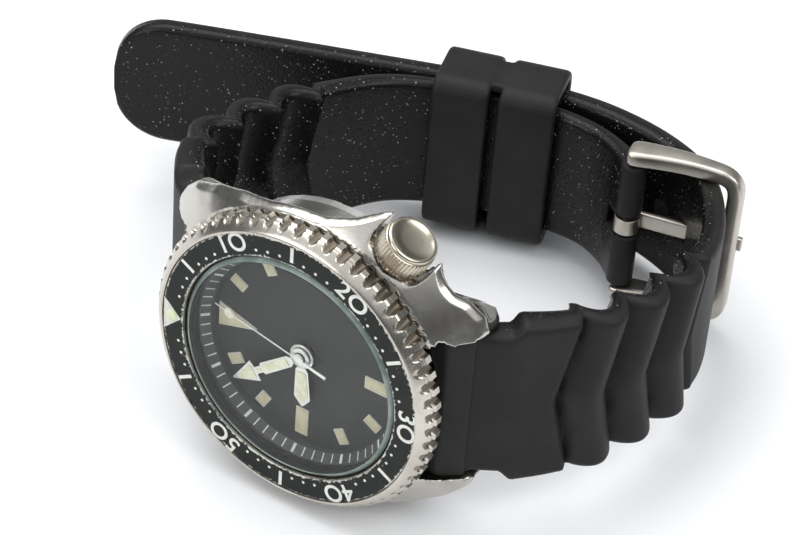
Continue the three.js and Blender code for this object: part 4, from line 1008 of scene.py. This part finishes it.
def straps():
    verts, faces, inner = strap_mesh(LONG, 1, TIP_ROUND)
    long_half = piece("strap_long_half", verts, faces, MATERIALS["strap_rubber"], "watch", ["strap_6"],
                      "strap_rubber", values={"inner": inner}, sharp=50)
    tools = [cutter("tongue_slot", turned_to(buckle_matrix(), block(4, 13, 0.4, 2.7, -1.55, 1.55)))]
    first = nearest(LONG, -25.9, -57.3)
    for i in range(1, HOLE_COUNT):
        tools.append(hole_tool(first + i * HOLE_PITCH, i))
    carve(long_half, tools)
    verts, faces, inner = strap_mesh(SHORT, -1, 0)
    short_half = piece("strap_short_half", verts, faces, MATERIALS["strap_rubber"], "watch", ["strap_12"],
                       "strap_rubber", values={"inner": inner}, sharp=50)
    notch = block(-1.55, 1.55, BUCKLE_BAR[0] - 4, BUCKLE_BAR[0] + 3.2, BUCKLE_BAR[1] - 4, BUCKLE_BAR[1] + 4)
    carve(short_half, [cutter("tongue_notch", notch)])
    for name, sign in (("strap_end_6", -1), ("strap_end_12", 1)):
        piece(name, *strap_end(sign), MATERIALS["strap_rubber"], "watch", sharp=50)
    for name, y in (("strap_eye_6", -BAR_Y), ("strap_eye_12", BAR_Y)):
        piece(name, *eye(y, BAR_Z, STRAP_EYE_R, STRAP_EYE_HALF), MATERIALS["strap_rubber"], "watch", sharp=50)
    for name, x in (("buckle_eye_3", 1), ("buckle_eye_9", -1)):
        verts, faces = eye(*BUCKLE_BAR, BUCKLE_EYE_R, BUCKLE_EYE_HALF)
        verts = [(v + x * BUCKLE_EYE_X, y, z) for v, y, z in verts]
        piece(name, verts, faces, MATERIALS["strap_rubber"], "watch", sharp=50)


# ---------------------------------------------------------------- keeper and buckle
def keeper():
    """Two rubber loops joined at their sides, with a slot between them."""
    outer = nearest(LONG, KEEPER_Y, -60)
    inner = nearest(SHORT, KEEPER_Y, -56)
    way = (LONG.at(outer)[1] - SHORT.at(inner)[1])
    tilt = math.atan2(way.y, way.x)
    middle = (LONG.at(outer)[0] + SHORT.at(inner)[0]) / 2
    turn = Matrix.Translation((0, middle.x, middle.y + 0.15)) @ Matrix.Rotation(tilt, 4, "X")
    loops = []
    corners = [(-KEEPER_HALF_X, -KEEPER_HALF_Z), (KEEPER_HALF_X, -KEEPER_HALF_Z),
               (KEEPER_HALF_X, KEEPER_HALF_Z), (-KEEPER_HALF_X, KEEPER_HALF_Z)]
    for side in (-1, 1):
        path = rounded(corners, KEEPER_CORNER, 6)
        stations = []
        for i, (x, z) in enumerate(path):
            ahead = Vector(path[(i + 1) % len(path)]) - Vector(path[i - 1])
            out = Vector((ahead.y, -ahead.x)).normalized()
            stations.append(((x, side * LOOP_APART, z), (0, 1, 0), (out.x, 0, out.y)))
        rings = ribbon(stations, rounded_box(LOOP_HALF, KEEPER_WALL / 2, 0.55, 4))
        loops.append(skin(rings, round_ends=True))
    for side in (-1, 1):
        wall_x = side * KEEPER_HALF_X
        loops.append(block(wall_x - 0.6, wall_x + 0.6, -1.6, 1.6, -3.2, 3.2))
    verts, faces = turned_to(turn, joined(*loops))
    thing = piece("keeper_loop", verts, faces, MATERIALS["keeper_rubber"], "loop_keeper", ["keeper"],
                  "keeper_rubber")
    soften(thing, KEEPER_VOXEL, KEEPER_MELT)


def soften(thing, voxel, rounds):
    """Merges a piece's solids and melts their joins, as moulded rubber is."""
    mod = thing.modifiers.new("merge", "REMESH")
    mod.mode = "VOXEL"
    mod.voxel_size = voxel * MM
    mod.use_smooth_shade = True
    smooth = thing.modifiers.new("melt", "SMOOTH")
    smooth.iterations = rounds
    smooth.factor = 0.5


def buckle():
    matrix = buckle_matrix()
    reach = (Vector(BUCKLE_OUTER) - Vector(BUCKLE_BAR)).length
    side = BUCKLE_HALF
    corners = [(-1.0, -side), (reach, -side), (reach, side), (-1.0, side)]
    path = rounded(corners, BUCKLE_CORNER, 8, closed=False)
    dense = []
    for a, b in zip(path, path[1:]):
        parts = max(1, int((Vector(b) - Vector(a)).length / 0.8))
        dense += [tuple(Vector(a).lerp(Vector(b), i / parts)) for i in range(parts)]
    dense.append(path[-1])
    dense = [dense[0], tuple(Vector(dense[0]).lerp(Vector(dense[1]), 0.25)), *dense[1:]]
    dense = [*dense[:-1], tuple(Vector(dense[-1]).lerp(Vector(dense[-2]), 0.25)), dense[-1]]
    stations = []
    for i, (x, z) in enumerate(dense):
        ahead = Vector(dense[min(i + 1, len(dense) - 1)]) - Vector(dense[max(i - 1, 0)])
        out = Vector((ahead.y, -ahead.x)).normalized()
        arch = BUCKLE_ARCH * math.sin(math.pi * min(max(x / reach, 0), 1))
        stations.append(((x, arch, z), (out.x, 0, out.y), (0, 1, 0)))
    broad = []
    for i, (centre, out, up) in enumerate(stations):
        # the arms are broadest at the spring bar
        height = 0.95 + 0.75 * (1 - min(max(centre[0] / reach, 0), 1)) ** 1.3
        end = min(i, len(stations) - 1 - i)
        tight = (0.45, 0.8, 0.95)[end] if end < 3 else 1.0
        broad.append((centre, Vector(out) * tight, Vector(up) * height * tight))
    rings = ribbon(broad, rounded_box(1.05, 1.2, 0.55, 4))
    verts, faces = turned_to(matrix, skin(rings))
    piece("buckle_loop", verts, faces, MATERIALS["buckle_steel"], "buckle", ["buckle_frame"],
          "buckle_steel", soft=0.2)

    bends = [(0.2, 1.45), (2.4, 1.45), (reach - 2.6, 1.45), (reach - 1.2, 1.85), (reach + 1.5, 1.75)]
    spine = rounded(bends, 1.2, 5, closed=False)
    stations = []
    for i, (x, y) in enumerate(spine):
        ahead = (Vector(spine[min(i + 1, len(spine) - 1)]) - Vector(spine[max(i - 1, 0)])).normalized()
        width = 0.82 if x > reach - 1 else 1.0
        stations.append(((x, y, 0), (0, 0, width), (-ahead.y, ahead.x, 0)))
    rings = ribbon(stations, rounded_box(1.15, 0.48, 0.28, 3))
    blade = skin(rings)
    ring = skin([[(r * math.cos(a * math.pi / 16), r * math.sin(a * math.pi / 16), z) for a in range(32)]
                 for r, z in ((1.0, -1.15), (1.75, -1.15), (1.75, 1.15), (1.0, 1.15))], round_ends=True)
    verts, faces = turned_to(matrix, joined(blade, ring))
    piece("tongue_blade", verts, faces, MATERIALS["buckle_steel"], "tongue", ["buckle_tongue"],
          "buckle_steel", soft=0.1)


# ---------------------------------------------------------------- carried-over CAD nodes
def finish_nodes():
    slots = {part["node"]: part["material_slot"] for part in frame["record"]["subparts"]}
    for name, node in frame["nodes"].items():
        node.data.materials.clear()
        node.data.materials.append(MATERIALS[slots[name]])


# ---------------------------------------------------------------- camera, floor and light
CAMERA_AT = ORIGIN + Vector((0.14685, -0.18618, 0.24704))
CAMERA_TO = ORIGIN + Vector((0.00520, 0.01761, 0.00595))
CAMERA_ROLL = -1.373
LENS = 125.2


def camera():
    data = bpy.data.cameras.new("camera")
    data.lens = LENS
    data.sensor_width = 36
    thing = added("camera", data)
    aim = (CAMERA_TO - CAMERA_AT).to_track_quat("-Z", "Y").to_matrix().to_4x4()
    roll = Matrix.Rotation(math.radians(CAMERA_ROLL), 4, "Z")
    thing.matrix_world = Matrix.Translation(CAMERA_AT) @ aim @ roll
    bpy.context.scene.camera = thing


def floor():
    n = Nodes("pale_floor")
    cloud = n.noise(40, 2)
    n.shader.inputs["Specular IOR Level"].default_value = 0.2
    n.set(Base_Color=n.mix(cloud, (0.86, 0.865, 0.88), (0.88, 0.885, 0.90)), Roughness=0.7)
    mesh = bpy.data.meshes.new("floor")
    half = FLOOR_HALF_M
    corners = [(-half, -half, 0), (half, -half, 0), (half, half, 0), (-half, half, 0)]
    mesh.from_pydata(corners, [], [(0, 1, 2, 3)])
    mesh.materials.append(n.material)
    thing = added("floor", mesh)


def lamp(name, place, size, power, target=(0, 0, 0.02)):
    data = bpy.data.lights.new(name, "AREA")
    data.shape = "RECTANGLE"
    data.size, data.size_y = size
    data.energy = power
    thing = added(name, data)
    place = Vector(place)
    aim = (Vector(target) - place).to_track_quat("-Z", "Y").to_matrix().to_4x4()
    thing.matrix_world = Matrix.Translation(place) @ aim


def lights():
    world = bpy.data.worlds.new("studio")
    world.use_nodes = True
    tree = world.node_tree
    way = tree.nodes.new("ShaderNodeTexCoord")
    split = tree.nodes.new("ShaderNodeSeparateXYZ")
    tree.links.new(way.outputs["Generated"], split.inputs[0])
    rise = tree.nodes.new("ShaderNodeMapRange")
    rise.interpolation_type = "SMOOTHSTEP"
    for socket, number in zip(("From Min", "From Max", "To Min", "To Max"), (0.3, 0.85, 0.16, 0.95)):
        rise.inputs[socket].default_value = number
    tree.links.new(split.outputs["Z"], rise.inputs["Value"])
    tree.nodes["Background"].inputs["Color"].default_value = (0.96, 0.98, 1.0, 1)
    tree.links.new(rise.outputs[0], tree.nodes["Background"].inputs["Strength"])
    bpy.context.scene.world = world
    lamp("key_softbox", (-0.3, 0.15, 0.75), (0.8, 0.6), 4.2)
    lamp("fill_softbox", (0.5, 0.05, 0.6), (0.5, 0.5), 2.2)
    lamp("front_softbox", (-0.3, -0.65, 0.45), (0.5, 0.4), 2.0)
    bpy.context.scene.view_settings.view_transform = "Standard"


camera()
bezel()
insert()
bezel_figures()
crystal()
chapter_ring()
dial()
hands()
case()
crown()
straps()
keeper()
buckle()
finish_nodes()
floor()
lights()
